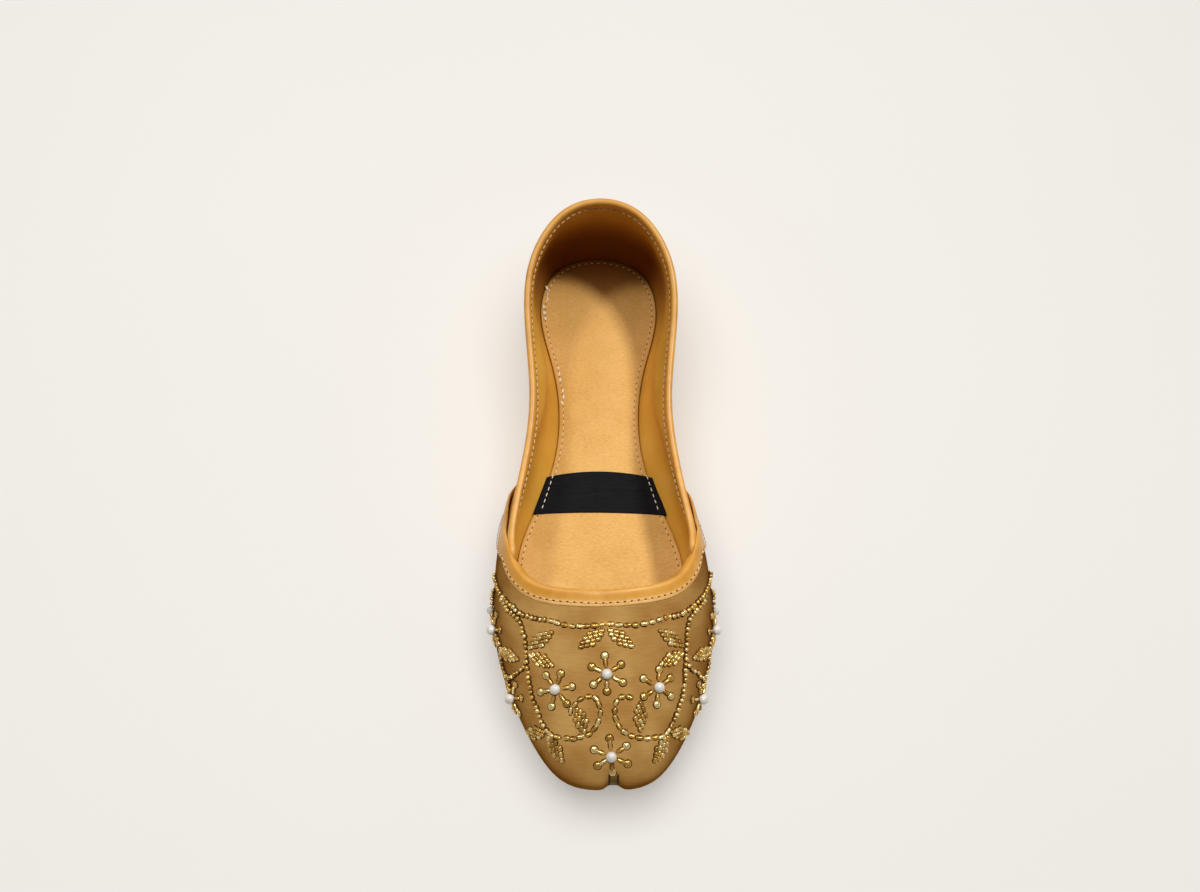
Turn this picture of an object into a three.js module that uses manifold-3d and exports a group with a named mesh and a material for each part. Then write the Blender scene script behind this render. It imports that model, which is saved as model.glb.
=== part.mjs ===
// A mojari (khussa): a flat slip-on shoe with an embroidered cloth vamp laid over leather quarters,
// leather bindings folded over both edges, a leather outsole and a thin insole. Right shoe.
// Millimetres. +Z up, the toe points to -Y, +X is the inner (big toe) side.
// The origin is on the floor under the middle of the heel.
import * as THREE from "three";
import { mergeVertices } from "three/addons/utils/BufferGeometryUtils.js";
import Module from "manifold-3d";

const wasm = await Module();
wasm.setup();

// ---- Driving sizes ----
const FEATHER_LENGTH = 241.5; // heel back to toe tip along the feather line, where upper meets sole
const HALF_BALL = 37.7; // half the feather width at the ball
const COLLAR_HEIGHT = 58; // top of the heel above the floor
const HEEL_TO_ORIGIN = 28; // heel back to the middle of the heel
const TOE_SWING = 3; // how far the toe turns to the inner side
const THROAT_SKEW = 0.04; // the throat reaches further back on the inner side

const HEEL_SOLE = 9; // height of the feather line over the heel
const FORE_SOLE = 5; // and over the forefoot
const SOLE_WAIST = [60, 140]; // the feather line comes down between these distances from the heel back
const TOE_SPRING = 6;
const SPRING_FROM = 175;
const ARCH = 2.4; // rise of the outsole's underside at the waist
const ARCH_SPAN = [62, 138];

const QUARTER_WALL = 1.5; // leather quarter with its lining, inside the seam surface
const VAMP_WALL = 2.2; // cloth vamp with its padding and lining, laid over the quarter
const LAP = 0.7; // how deep the vamp's inner face bites into the quarter
const GAP = 0.3; // clearance between neighbouring pieces
const LEATHER = 0.8; // binding leather
const INSOLE = 2;
const INSOLE_EASE = 0.2; // the insole keeps this much more than GAP off the quarter
const SOLE_EDGE = 0.9; // the outsole stands this far outside the vamp's foot

const CLEFT = { depth: 2.1, halfWidth: 3.4, shift: 0.006, fade: [0.42, 0.6], atFoot: 0.3 };

// ---- The last: one row for each section of the half outline, from the heel round to the toe ----
// along, half: place of the feather line, % of FEATHER_LENGTH and of HALF_BALL
// bulge, belly: the wall's widest point, mm outside the feather line and mm above it
// topAlong, topHalf: place of the collar or throat, % as above;  topRise: its height, % of COLLAR_HEIGHT
// lift: mm the wall runs straight up above the belly;  reach, slope: mm and degrees of its run into the top
const COLUMNS = [
  "along", "half", "bulge", "belly", "topAlong", "topHalf", "topRise", "lift", "reach", "slope",
];
const SECTIONS = {
  heelBack: [0, 0, 2.5, 16, 0.5, 0, 100, 14, 12, 86],
  heelCorner: [3.3, 55, 2.5, 16, 3.7, 49, 98.5, 14, 12, 86],
  heelSide: [13.2, 73, 3, 16, 13.2, 81, 90, 12, 12, 84],
  heelBreast: [24.8, 57, 4, 17, 24.8, 82.5, 78, 10, 10, 82],
  waistBack: [36.4, 50.5, 6, 17, 36.4, 77, 69.5, 8, 10, 76],
  waist: [47.2, 65, 8, 17, 47.2, 83.5, 65.5, 8, 10, 76],
  jointBack: [58, 92, 5, 16, 57, 95, 65.5, 8, 10, 96],
  ball: [68.7, 100, 5, 15, 63.8, 97.5, 68, 9, 10, 118],
  foreBall: [78.7, 99.5, 4, 13, 69, 83, 73.5, 9, 12, 138],
  toeShoulder: [88.6, 81, 3.5, 12, 71.7, 60, 78, 9, 14, 150],
  toeCorner: [96, 57.5, 3, 11, 73, 36, 81.5, 9, 16, 156],
  toeLobe: [99.4, 33, 3, 11, 73.5, 17, 83.2, 9, 18, 158],
  toeTip: [100, 0, 3, 11, 73.6, 0, 83.6, 9, 18, 158],
};
const BELLY_AT = 0.42; // v of the belly; v is 0 at the feather line and 1 at the top
const FOOT_HANDLE = { out: 0.9, up: 0.35 }; // fullness under the belly, as shares of bulge and belly
const THROAT_FROM = [0.5, 0.65]; // the throat's skew comes in between these shares of FEATHER_LENGTH

const clamp = THREE.MathUtils.clamp;
const lerp = THREE.MathUtils.lerp;
const smooth = (x, from, to) => THREE.MathUtils.smoothstep(x, from, to);

// Height of the feather line, and of the outsole's underside, at a distance s from the heel back.
function featherHeight(s) {
  const spring = clamp((s - SPRING_FROM) / (FEATHER_LENGTH - SPRING_FROM), 0, 1.1);
  return lerp(HEEL_SOLE, FORE_SOLE, smooth(s, ...SOLE_WAIST)) + TOE_SPRING * spring ** 2;
}

function treadHeight(s) {
  const spring = clamp((s - SPRING_FROM) / (FEATHER_LENGTH - SPRING_FROM), 0, 1.1);
  const t = clamp((s - ARCH_SPAN[0]) / (ARCH_SPAN[1] - ARCH_SPAN[0]), 0, 1);
  return ARCH * Math.sin(Math.PI * t) ** 2 + TOE_SPRING * spring ** 2;
}

const swing = (s) => TOE_SWING * smooth(s, FEATHER_LENGTH / 2, FEATHER_LENGTH);

// The rows in millimetres, heel to toe on the inner side and back to the heel on the outer side.
function sectionRings() {
  const half = Object.values(SECTIONS).map((row) => {
    const c = Object.fromEntries(COLUMNS.map((name, i) => [name, row[i]]));
    const s = (c.along / 100) * FEATHER_LENGTH;
    const topS = (c.topAlong / 100) * FEATHER_LENGTH;
    const w = (c.half / 100) * HALF_BALL;
    const topW = (c.topHalf / 100) * HALF_BALL;
    const topZ = (c.topRise / 100) * COLLAR_HEIGHT;
    return [s, w, c.bulge, c.belly, topS, topW, topZ, c.lift, c.reach, THREE.MathUtils.degToRad(c.slope)];
  });
  const outer = half.slice(1, -1).reverse().map((r) => r.map((x, i) => (i === 1 || i === 5 ? -x : x)));
  return [...half, ...outer];
}

// Controls of the closed cubic B-spline that passes through the given rows, settled by repeated sweeps.
const SWEEPS = 60;
function splineControls(rows) {
  const n = rows.length;
  const controls = rows.map((row) => [...row]);
  for (let sweep = 0; sweep < SWEEPS; sweep++)
    for (let i = 0; i < n; i++)
      for (let k = 0; k < rows[i].length; k++)
        controls[i][k] = (6 * rows[i][k] - controls[(i + n - 1) % n][k] - controls[(i + 1) % n][k]) / 4;
  return controls;
}
const CONTROLS = splineControls(sectionRings());

// The section at u, with its slope in u. u is 0 at the heel back, grows along the inner side, 0.5 at the toe.
function sectionAt(u) {
  const n = CONTROLS.length;
  const at = (((u % 1) + 1) % 1) * n;
  const i = Math.floor(at);
  const t = at - i;
  const value = [(1 - t) ** 3, 3 * t ** 3 - 6 * t ** 2 + 4, -3 * t ** 3 + 3 * t ** 2 + 3 * t + 1, t ** 3];
  const slope = [-3 * (1 - t) ** 2, 9 * t ** 2 - 12 * t, -9 * t ** 2 + 6 * t + 3, 3 * t ** 2];
  const four = [0, 1, 2, 3].map((k) => CONTROLS[(i + n - 1 + k) % n]);
  const mix = (weights, c) => four.reduce((sum, row, k) => sum + (weights[k] * row[c]) / 6, 0);
  return { row: four[0].map((_, c) => mix(value, c)), turn: [mix(slope, 0), mix(slope, 1)] };
}

// Outward direction in plan and the feather point of the section at u.
function feather(u) {
  const { row, turn } = sectionAt(u);
  const out = new THREE.Vector3(turn[0], turn[1], 0).normalize();
  const foot = new THREE.Vector3(row[1] + swing(row[0]), HEEL_TO_ORIGIN - row[0], featherHeight(row[0]));
  return { row, out, foot };
}

// The plain seam surface between quarter and vamp, from the feather line (v = 0) to the top (v = 1).
function seamSurface(u, v) {
  const { row, out, foot } = feather(u);
  const [, , bulge, belly, topS, topW, topZ, lift, reach, slope] = row;
  const up = new THREE.Vector3(0, 0, 1);
  const wide = foot.clone().addScaledVector(out, bulge).addScaledVector(up, belly);
  if (v <= BELLY_AT) {
    const handle = foot.clone().addScaledVector(out, FOOT_HANDLE.out * bulge);
    handle.addScaledVector(up, FOOT_HANDLE.up * belly);
    return new THREE.QuadraticBezierCurve3(foot, handle, wide).getPoint(Math.max(v, 0) / BELLY_AT);
  }
  const [skewFrom, skewTo] = THROAT_FROM.map((share) => share * FEATHER_LENGTH);
  const skew = THROAT_SKEW * topW * smooth(topS, skewFrom, skewTo);
  const top = new THREE.Vector3(topW + swing(topS), HEEL_TO_ORIGIN - topS + skew, topZ);
  const arrive = out.clone().multiplyScalar(Math.cos(slope)).addScaledVector(up, Math.sin(slope));
  const above = wide.clone().addScaledVector(up, lift);
  const before = top.clone().addScaledVector(arrive, -reach);
  return new THREE.CubicBezierCurve3(wide, above, before, top).getPoint((v - BELLY_AT) / (1 - BELLY_AT));
}

// Slopes of the seam surface in u and in v.
const STEP = 1e-4;
function slopes(u, v) {
  const low = Math.max(v - STEP, 0);
  const high = Math.min(v + STEP, 1);
  const du = seamSurface(u + STEP, v).sub(seamSurface(u - STEP, v)).divideScalar(2 * STEP);
  const dv = seamSurface(u, high).sub(seamSurface(u, low)).divideScalar(high - low);
  return { du, dv };
}

// Outward normal, laid level at the feather line so that each layer's foot stands flat on the sole.
const LEVEL_UP_TO = 0.16;
function outward(u, v) {
  const { du, dv } = slopes(u, v);
  const normal = new THREE.Vector3().crossVectors(dv, du).normalize();
  normal.z *= smooth(v, 0, LEVEL_UP_TO);
  return normal.normalize();
}

// Depth of the cleft that parts the toe into two lobes.
function cleft(u, v) {
  const { row, out } = feather(u);
  const centre = feather(0.5 - CLEFT.shift);
  const across = (row[1] + swing(row[0]) - centre.foot.x) / CLEFT.halfWidth;
  const fade = lerp(CLEFT.atFoot, 1, smooth(v, 0, 0.5 * BELLY_AT)) * (1 - smooth(v, ...CLEFT.fade));
  return out.y > 0 ? 0 : CLEFT.depth * Math.exp(-(across ** 2)) * fade;
}

// A point on the upper, a distance off outside the seam surface.
function onUpper(u, v, off) {
  return seamSurface(u, v).addScaledVector(outward(u, v), off - cleft(u, v));
}

// ---- Free edges: how high the quarter and the vamp reach at each u ----
const CROSSING = 0.294; // u where the vamp's edge comes up over the quarter's top line
const WING_END = 0.2; // u where the vamp's wing runs out at the sole
const QUARTER_END = 0.316; // u of the quarter's front edge, inside the vamp
const QUARTER_DIP = 0.22; // how far the quarter's top line drops there, as v
const WING_TIP = 0.05; // v of the wing's end
const WING_EASE = 0.12; // how gently the wing's edge leaves the top line
const DIP_FROM = CROSSING - 0.006; // the quarter's dip starts just before the crossing
const DIP_TO = QUARTER_END + 0.01; // and would end just past the quarter

const side = (u) => 0.5 - Math.abs(((u % 1) + 1) % 1 - 0.5); // 0 at the heel, 0.5 at the toe

function quarterTop(u) {
  return 1 - QUARTER_DIP * smooth(side(u), DIP_FROM, DIP_TO);
}

function vampTop(u) {
  const back = clamp((CROSSING - side(u)) / (CROSSING - WING_END), 0, 1);
  const fall = (Math.hypot(back, WING_EASE) - WING_EASE) / (Math.hypot(1, WING_EASE) - WING_EASE);
  return lerp(1, WING_TIP, fall);
}

// ---- From a plain three.js shape to a closed piece ----

// Moves every vertex of a plain shape through place(x, y, z), then joins what coincides.
const WELD = 1e-4;
function reshape(geometry, place) {
  geometry.deleteAttribute("normal");
  geometry.deleteAttribute("uv");
  const position = geometry.getAttribute("position");
  for (let i = 0; i < position.count; i++) {
    const p = place(position.getX(i), position.getY(i), position.getZ(i));
    position.setXYZ(i, p.x, p.y, p.z);
  }
  const welded = mergeVertices(geometry, WELD);
  const index = welded.index.array;
  const kept = [];
  for (let i = 0; i < index.length; i += 3) {
    const [a, b, c] = [index[i], index[i + 1], index[i + 2]];
    if (a !== b && b !== c && c !== a) kept.push(a, b, c);
  }
  welded.setIndex(kept);
  return welded;
}

function toSolid(geometry) {
  const vertProperties = new Float32Array(geometry.getAttribute("position").array);
  const triVerts = new Uint32Array(geometry.index.array);
  return new wasm.Manifold(new wasm.Mesh({ numProp: 3, vertProperties, triVerts }));
}

function toGeometry(solid) {
  const mesh = solid.getMesh();
  const geometry = new THREE.BufferGeometry();
  geometry.setAttribute("position", new THREE.BufferAttribute(new Float32Array(mesh.vertProperties), 3));
  geometry.setIndex(new THREE.BufferAttribute(new Uint32Array(mesh.triVerts), 1));
  return geometry;
}

// A sheet of the upper: a block bent so that x runs along u, y up to the free edge and z through the wall.
function shell(columns, rows, along, top, inner, outer) {
  return reshape(new THREE.BoxGeometry(1, 1, 1, columns, rows, 1), (x, y, z) => {
    const u = along(2 * x);
    return onUpper(u, (y + 0.5) * top(u), z > 0 ? outer : inner);
  });
}

// ---- Upper: leather quarters round the heel and the vamp over them, one hollow body ----
const QUARTER_GRID = [58, 7];
const VAMP_GRID = [92, 10];
const TOE_CROWDING = 0.5; // the vamp's columns stand closer at the toe, for the cleft

function upperGeometry() {
  const roundHeel = (x) => -x * QUARTER_END;
  const roundToe = (x) => 0.5 - x * (TOE_CROWDING + (1 - TOE_CROWDING) * Math.abs(x)) * (0.5 - WING_END);
  const quarter = shell(...QUARTER_GRID, roundHeel, quarterTop, -QUARTER_WALL, 0);
  const vamp = shell(...VAMP_GRID, roundToe, vampTop, -LAP, VAMP_WALL - LAP);
  return toGeometry(toSolid(quarter).add(toSolid(vamp)));
}

// ---- Sole pieces: a turned disc drawn out to the shoe's outline ----

// The outline an amount outside the feather line, and the spine that the disc's centre is drawn out to.
const SPINE = [22, 214];
function footprint(u, reach, out) {
  const { row, out: away, foot } = feather(u);
  const edge = foot.clone().addScaledVector(away, out);
  const s = clamp(row[0], ...SPINE);
  const spine = new THREE.Vector3(swing(s), HEEL_TO_ORIGIN - s, 0);
  return spine.lerp(edge, reach);
}

// profile: [share of the way from spine to edge, share of the thickness, mm off the edge] from below to above
function plate(segments, profile, outside, under, over) {
  const points = profile.map(([reach], i) => new THREE.Vector2(reach, i));
  const disc = new THREE.LatheGeometry(points, segments, Math.PI / 2);
  return reshape(disc, (x, y, z) => {
    const [reach, level, trim] = profile[Math.round(y)];
    const turn = Math.atan2(z, x) / (2 * Math.PI);
    const p = footprint(turn, reach, outside - trim);
    const s = HEEL_TO_ORIGIN - p.y;
    p.z = lerp(under(s), over(s), level);
    return p;
  });
}

const SOLE_SEGMENTS = 72;
const OUTSOLE_PROFILE = [
  [0, 0, 0], [0.5, 0, 0], [0.86, 0, 0], [1, 0, 1.2], [1, 0.18, 0.3], [1, 0.8, 0], [1, 1, 0.6],
  [0.8, 1, 0], [0.4, 1, 0], [0, 1, 0],
];
const INSOLE_PROFILE = [
  [0, 0, 0], [0.5, 0, 0], [1, 0, 0], [1, 0.6, 0], [1, 1, 0.6],
  [0.8, 1, 0], [0.4, 1, 0], [0, 1, 0],
];

function outsoleGeometry() {
  const outside = VAMP_WALL - LAP + SOLE_EDGE;
  return plate(SOLE_SEGMENTS, OUTSOLE_PROFILE, outside, treadHeight, (s) => featherHeight(s) - GAP);
}

function insoleGeometry() {
  const inset = -(QUARTER_WALL + GAP + INSOLE_EASE);
  return plate(SOLE_SEGMENTS, INSOLE_PROFILE, inset, featherHeight, (s) => featherHeight(s) + INSOLE);
}

// ---- Bindings: a folded strip carried along a free edge ----

// A point near the edge at u: n mm outside the seam surface, t mm beyond the edge (below it where negative).
function nearEdge(u, top, n, t) {
  const v = top(u);
  const { du, dv } = slopes(u, v);
  const climb = (top(u + STEP) - top(u - STEP)) / (2 * STEP);
  const run = du.clone().addScaledVector(dv, climb).normalize();
  const normal = outward(u, v);
  const beyond = new THREE.Vector3().crossVectors(run, normal).normalize();
  if (beyond.dot(dv) < 0) beyond.negate();
  if (t >= 0) return onUpper(u, v, n).addScaledVector(beyond, t);
  const [aa, ab, bb] = [du.dot(du), du.dot(dv), dv.dot(dv)];
  const [pa, pb] = [beyond.dot(du) * t, beyond.dot(dv) * t];
  const det = aa * bb - ab * ab;
  const stepU = (pa * bb - pb * ab) / det;
  const stepV = (pb * aa - pa * ab) / det;
  return onUpper(u + stepU, clamp(v + stepV, 0, 1), n);
}

// section(u) gives the strip's corners [n, t] at u, in the order of a plain polygon with as many corners.
function binding(stations, from, to, top, section) {
  const corners = section(0.5 * (from + to)).length;
  const angles = Array.from({ length: corners }, (_, i) => (i / corners) * 2 * Math.PI);
  const polygon = new THREE.Shape(angles.map((a) => new THREE.Vector2(Math.cos(a), Math.sin(a))));
  const strip = new THREE.ExtrudeGeometry(polygon, { steps: stations, depth: 1, bevelEnabled: false });
  return reshape(strip, (x, y, z) => {
    const u = lerp(from, to, z);
    const corner = Math.round((Math.atan2(y, x) / (2 * Math.PI)) * corners + corners) % corners;
    return nearEdge(u, top, ...section(u)[corner]);
  });
}

const FOLD = 1.3; // how far a binding stands beyond the edge it covers
const CLEAR = 0.4; // gap between a binding and the wall inside it
const EDGE_OFF = 0.35; // a lip that has run out ends this far beyond the edge
const ROUND = 0.5; // the fold's corners are cut back this far
const END_OFF = 0.004; // the vamp's binding stops this far in u before the wing's end

// The quarter's binding drops its outer flange where the vamp's wing covers the wall, then slips inside it.
const QUARTER_BINDING = {
  inner: 3.2, outer: 2.6, stations: 60, end: 0.3,
  dropped: [0.25, 0.262], slipped: [0.256, 0.27],
};
function quarterBindingGeometry() {
  const q = QUARTER_BINDING;
  const section = (u) => {
    const nIn = -QUARTER_WALL - CLEAR;
    const slip = smooth(side(u), ...q.slipped);
    const nOut = lerp(CLEAR + LEATHER, -LAP - 2 * GAP, slip);
    const nChannel = Math.min(CLEAR, nOut - 0.5 * LEATHER);
    const tOut = lerp(-q.outer, EDGE_OFF, smooth(side(u), ...q.dropped));
    return [
      [nOut, tOut], [nOut, FOLD - ROUND], [nOut - ROUND, FOLD],
      [nIn - LEATHER + ROUND, FOLD], [nIn - LEATHER, FOLD - ROUND], [nIn - LEATHER, -q.inner],
      [nIn, -q.inner], [nIn, CLEAR], [nChannel, CLEAR], [nChannel, tOut],
    ];
  };
  return binding(q.stations, -q.end, q.end, quarterTop, section);
}

// The vamp's binding folds inside only across the throat; over the quarters it stays outside the wall.
const VAMP_BINDING = { inner: 2.4, outer: 4.2, stations: 84, folds: [0.3, 0.316], lips: [0.32, 0.338] };
function vampBindingGeometry() {
  const b = VAMP_BINDING;
  const face = VAMP_WALL - LAP + 1.5 * CLEAR;
  const section = (u) => {
    const nIn = lerp(2 * CLEAR, -LAP - CLEAR - LEATHER, smooth(side(u), ...b.folds));
    const tIn = lerp(EDGE_OFF, -b.inner, smooth(side(u), ...b.lips));
    return [
      [face + LEATHER, -b.outer], [face + LEATHER, FOLD - ROUND], [face + LEATHER - ROUND, FOLD],
      [nIn + ROUND, FOLD], [nIn, FOLD - ROUND], [nIn, tIn], [nIn + LEATHER, tIn],
      [nIn + LEATHER, CLEAR], [face, CLEAR], [face, -b.outer / 2], [face, -b.outer],
    ];
  };
  return binding(b.stations, WING_END + END_OFF, 1 - WING_END - END_OFF, vampTop, section);
}

// ---- Toe tab: a narrow strip of leather that runs up the cleft ----
const TAB = { halfWidth: 0.0072, from: 0.03, to: 0.54, thick: 1.1 };
function toeTabGeometry() {
  const inner = VAMP_WALL - LAP + 2 * GAP;
  return reshape(new THREE.BoxGeometry(1, 1, 1, 5, 12, 1), (x, y, z) => {
    const u = 0.5 - CLEFT.shift - 2 * x * TAB.halfWidth;
    return onUpper(u, lerp(TAB.from, TAB.to, y + 0.5), inner + (z > 0 ? TAB.thick : 0));
  });
}

// ---- Assembly ----
const PIECES = [
  ["outsole", outsoleGeometry, 0x8a5a34, 0.7],
  ["insole", insoleGeometry, 0xc99a5a, 0.85],
  ["upper", upperGeometry, 0xb08a4c, 0.75],
  ["vamp_binding", vampBindingGeometry, 0xd08a30, 0.5],
  ["quarter_binding", quarterBindingGeometry, 0xd79a48, 0.5],
  ["toe_tab", toeTabGeometry, 0xc98a3a, 0.55],
];

const mojari = new THREE.Group();
mojari.name = "mojari";
for (const [name, build, color, roughness] of PIECES) {
  const geometry = build();
  geometry.computeVertexNormals();
  const mesh = new THREE.Mesh(geometry, new THREE.MeshStandardMaterial({ color, roughness, metalness: 0 }));
  mesh.name = name;
  mojari.add(mesh);
}

export default mojari;
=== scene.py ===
"""A mojari (khussa) slip-on shoe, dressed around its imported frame: beaded raw silk vamp, tan leather quarters,
folded leather bindings, sock with a bare label band, and a stitched leather outsole."""
import logging
import math
from dataclasses import dataclass, field
from enum import Enum
from typing import Callable, Sequence

import bmesh
import bpy
import numpy as np
from mathutils import Matrix, Vector


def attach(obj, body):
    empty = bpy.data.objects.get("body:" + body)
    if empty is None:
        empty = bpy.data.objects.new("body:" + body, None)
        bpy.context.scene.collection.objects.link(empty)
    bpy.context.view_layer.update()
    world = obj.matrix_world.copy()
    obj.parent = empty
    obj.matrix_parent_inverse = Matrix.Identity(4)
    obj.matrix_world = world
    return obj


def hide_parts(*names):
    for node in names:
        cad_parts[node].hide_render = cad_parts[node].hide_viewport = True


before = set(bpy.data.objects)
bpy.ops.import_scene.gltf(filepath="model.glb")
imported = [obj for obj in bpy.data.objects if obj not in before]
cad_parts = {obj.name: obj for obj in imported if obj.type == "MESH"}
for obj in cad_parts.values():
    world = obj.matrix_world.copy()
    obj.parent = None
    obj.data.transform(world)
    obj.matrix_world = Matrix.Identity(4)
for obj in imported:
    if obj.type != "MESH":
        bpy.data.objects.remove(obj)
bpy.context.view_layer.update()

BODY = "root"
MM = 0.001
# about the scale at which Blender's wave texture repeats once for each unit of its vector
WAVE_UNIT = 0.318
LOG = logging.getLogger("mojari")
Pair = tuple[float, float]
Triple = tuple[float, float, float]
Curve = Callable[[np.ndarray], np.ndarray]
Place = Callable[[np.ndarray, np.ndarray], np.ndarray]
Tree, Socket, BMesh = bpy.types.NodeTree, bpy.types.NodeSocket, bmesh.types.BMesh


# ---------------------------------------------------------------- colour and nodes

def srgb(code: str) -> tuple[float, float, float, float]:
    """Turn an sRGB hex code into linear red, green, blue and alpha.

    Args:
        code: six hex digits, such as "d99a3c".

    Returns:
        The linear colour with an alpha of one.
    """
    parts = [int(code[i:i + 2], 16) / 255 for i in (0, 2, 4)]
    linear = [c / 12.92 if c <= 0.04045 else ((c + 0.055) / 1.055) ** 2.4 for c in parts]
    return (*linear, 1.0)


def add_node(tree: Tree, kind: str, inputs: dict | None = None,
             stops: Sequence[tuple[float, str]] = (), **settings: object) -> bpy.types.Node:
    """Add a shader node with its settings, values and links.

    Args:
        tree: the node tree that takes the node.
        kind: the node's class name without its ShaderNode prefix.
        inputs: socket name or number to a value, or to the output socket that feeds it.
        stops: position and sRGB hex colour of each stop, for a node with a colour ramp.
        **settings: the node's own properties.

    Returns:
        The new node.
    """
    node = tree.nodes.new(f"ShaderNode{kind}")
    for key, value in settings.items():
        setattr(node, key, value)
    for key, value in (inputs or {}).items():
        if isinstance(value, Socket):
            tree.links.new(value, node.inputs[key])
        else:
            node.inputs[key].default_value = value
    for number, (position, code) in enumerate(stops):
        elements = node.color_ramp.elements
        element = elements[number] if number < len(elements) else elements.new(position)
        element.position, element.color = position, srgb(code)
    return node


def millimetres(tree: Tree, stretch: Triple = (1, 1, 1),
                turn: Triple = (0, 0, 0)) -> Socket:
    """Give the object's coordinates in millimetres, turned and then stretched.

    Args:
        tree: the node tree.
        stretch: length in millimetres that one unit of the pattern takes along each axis.
        turn: turn about each axis in degrees, made before the stretch.

    Returns:
        The vector socket.
    """
    coordinates = add_node(tree, "TexCoord").outputs["Object"]
    turned = add_node(tree, "Mapping", {"Vector": coordinates, "Rotation": tuple(math.radians(a) for a in turn)})
    scale = tuple(1 / (MM * s) for s in stretch)
    return add_node(tree, "Mapping", {"Vector": turned.outputs[0], "Scale": scale}).outputs[0]


# ---------------------------------------------------------------- finishes

@dataclass(frozen=True)
class Finish:
    """A surface finish: its name, its slot in the record, and the plain values of its shader.

    bump is the relief's strength and bump_depth its height in millimetres.
    """

    name: str
    slot: str
    base: str
    roughness: float = 0.5
    metallic: float = 0.0
    specular: float = 0.5
    coat: float = 0.0
    coat_roughness: float = 0.2
    bump: float = 0.2
    bump_depth: float = 0.1
    ior: float = 1.5

    def colour(self, tree: Tree) -> Socket:
        """Build the base colour's nodes, which each kind of finish gives itself."""
        raise NotImplementedError(self.name)

    def height(self, tree: Tree) -> Socket | None:
        """Build the relief's nodes; None leaves the surface smooth."""
        return None

    @staticmethod
    def _paint_heel_shade(tree: Tree, colour: Socket, along: Pair,
                   down: Pair, code: str) -> Socket:
        """Darken a colour deep in the heel with painted shade.

        Args:
            tree: the node tree.
            colour: the colour without its painted shade.
            along: y in millimetres where the darkening starts and where it is full.
            down: z in millimetres where it starts and where it is full.
            code: the hex colour that multiplies the unshaded one at the deepest.

        Returns:
            The colour with its painted shade.
        """
        place = add_node(tree, "SeparateXYZ", {0: millimetres(tree)})
        reach = []
        for axis, (start, full) in (("Y", along), ("Z", down)):
            inputs = {"Value": place.outputs[axis], "From Min": start, "From Max": full}
            reach.append(add_node(tree, "MapRange", inputs, interpolation_type="SMOOTHSTEP").outputs[0])
        deep = add_node(tree, "Math", {0: reach[0], 1: reach[1]}, operation="MULTIPLY")
        inputs = {"Fac": deep.outputs[0], "Color1": colour, "Color2": srgb(code)}
        return add_node(tree, "MixRGB", inputs, blend_type="MULTIPLY").outputs[0]

    def material(self) -> bpy.types.Material:
        """Make the material of this finish, once, and share it after that.

        Returns:
            The material.
        """
        found = bpy.data.materials.get(self.name)
        if found:
            return found
        made = bpy.data.materials.new(self.name)
        made.use_nodes = True
        tree = made.node_tree
        shader = tree.nodes["Principled BSDF"]
        values = {"Base Color": srgb(self.base), "Roughness": self.roughness, "Metallic": self.metallic,
                  "Specular IOR Level": self.specular, "Coat Weight": self.coat,
                  "Coat Roughness": self.coat_roughness, "IOR": self.ior}
        for name, value in values.items():
            shader.inputs[name].default_value = value
        tree.links.new(self.colour(tree), shader.inputs["Base Color"])
        relief = self.height(tree)
        if relief is not None:
            inputs = {"Height": relief, "Strength": self.bump, "Distance": self.bump_depth * MM}
            tree.links.new(add_node(tree, "Bump", inputs).outputs[0], shader.inputs["Normal"])
        return made


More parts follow.
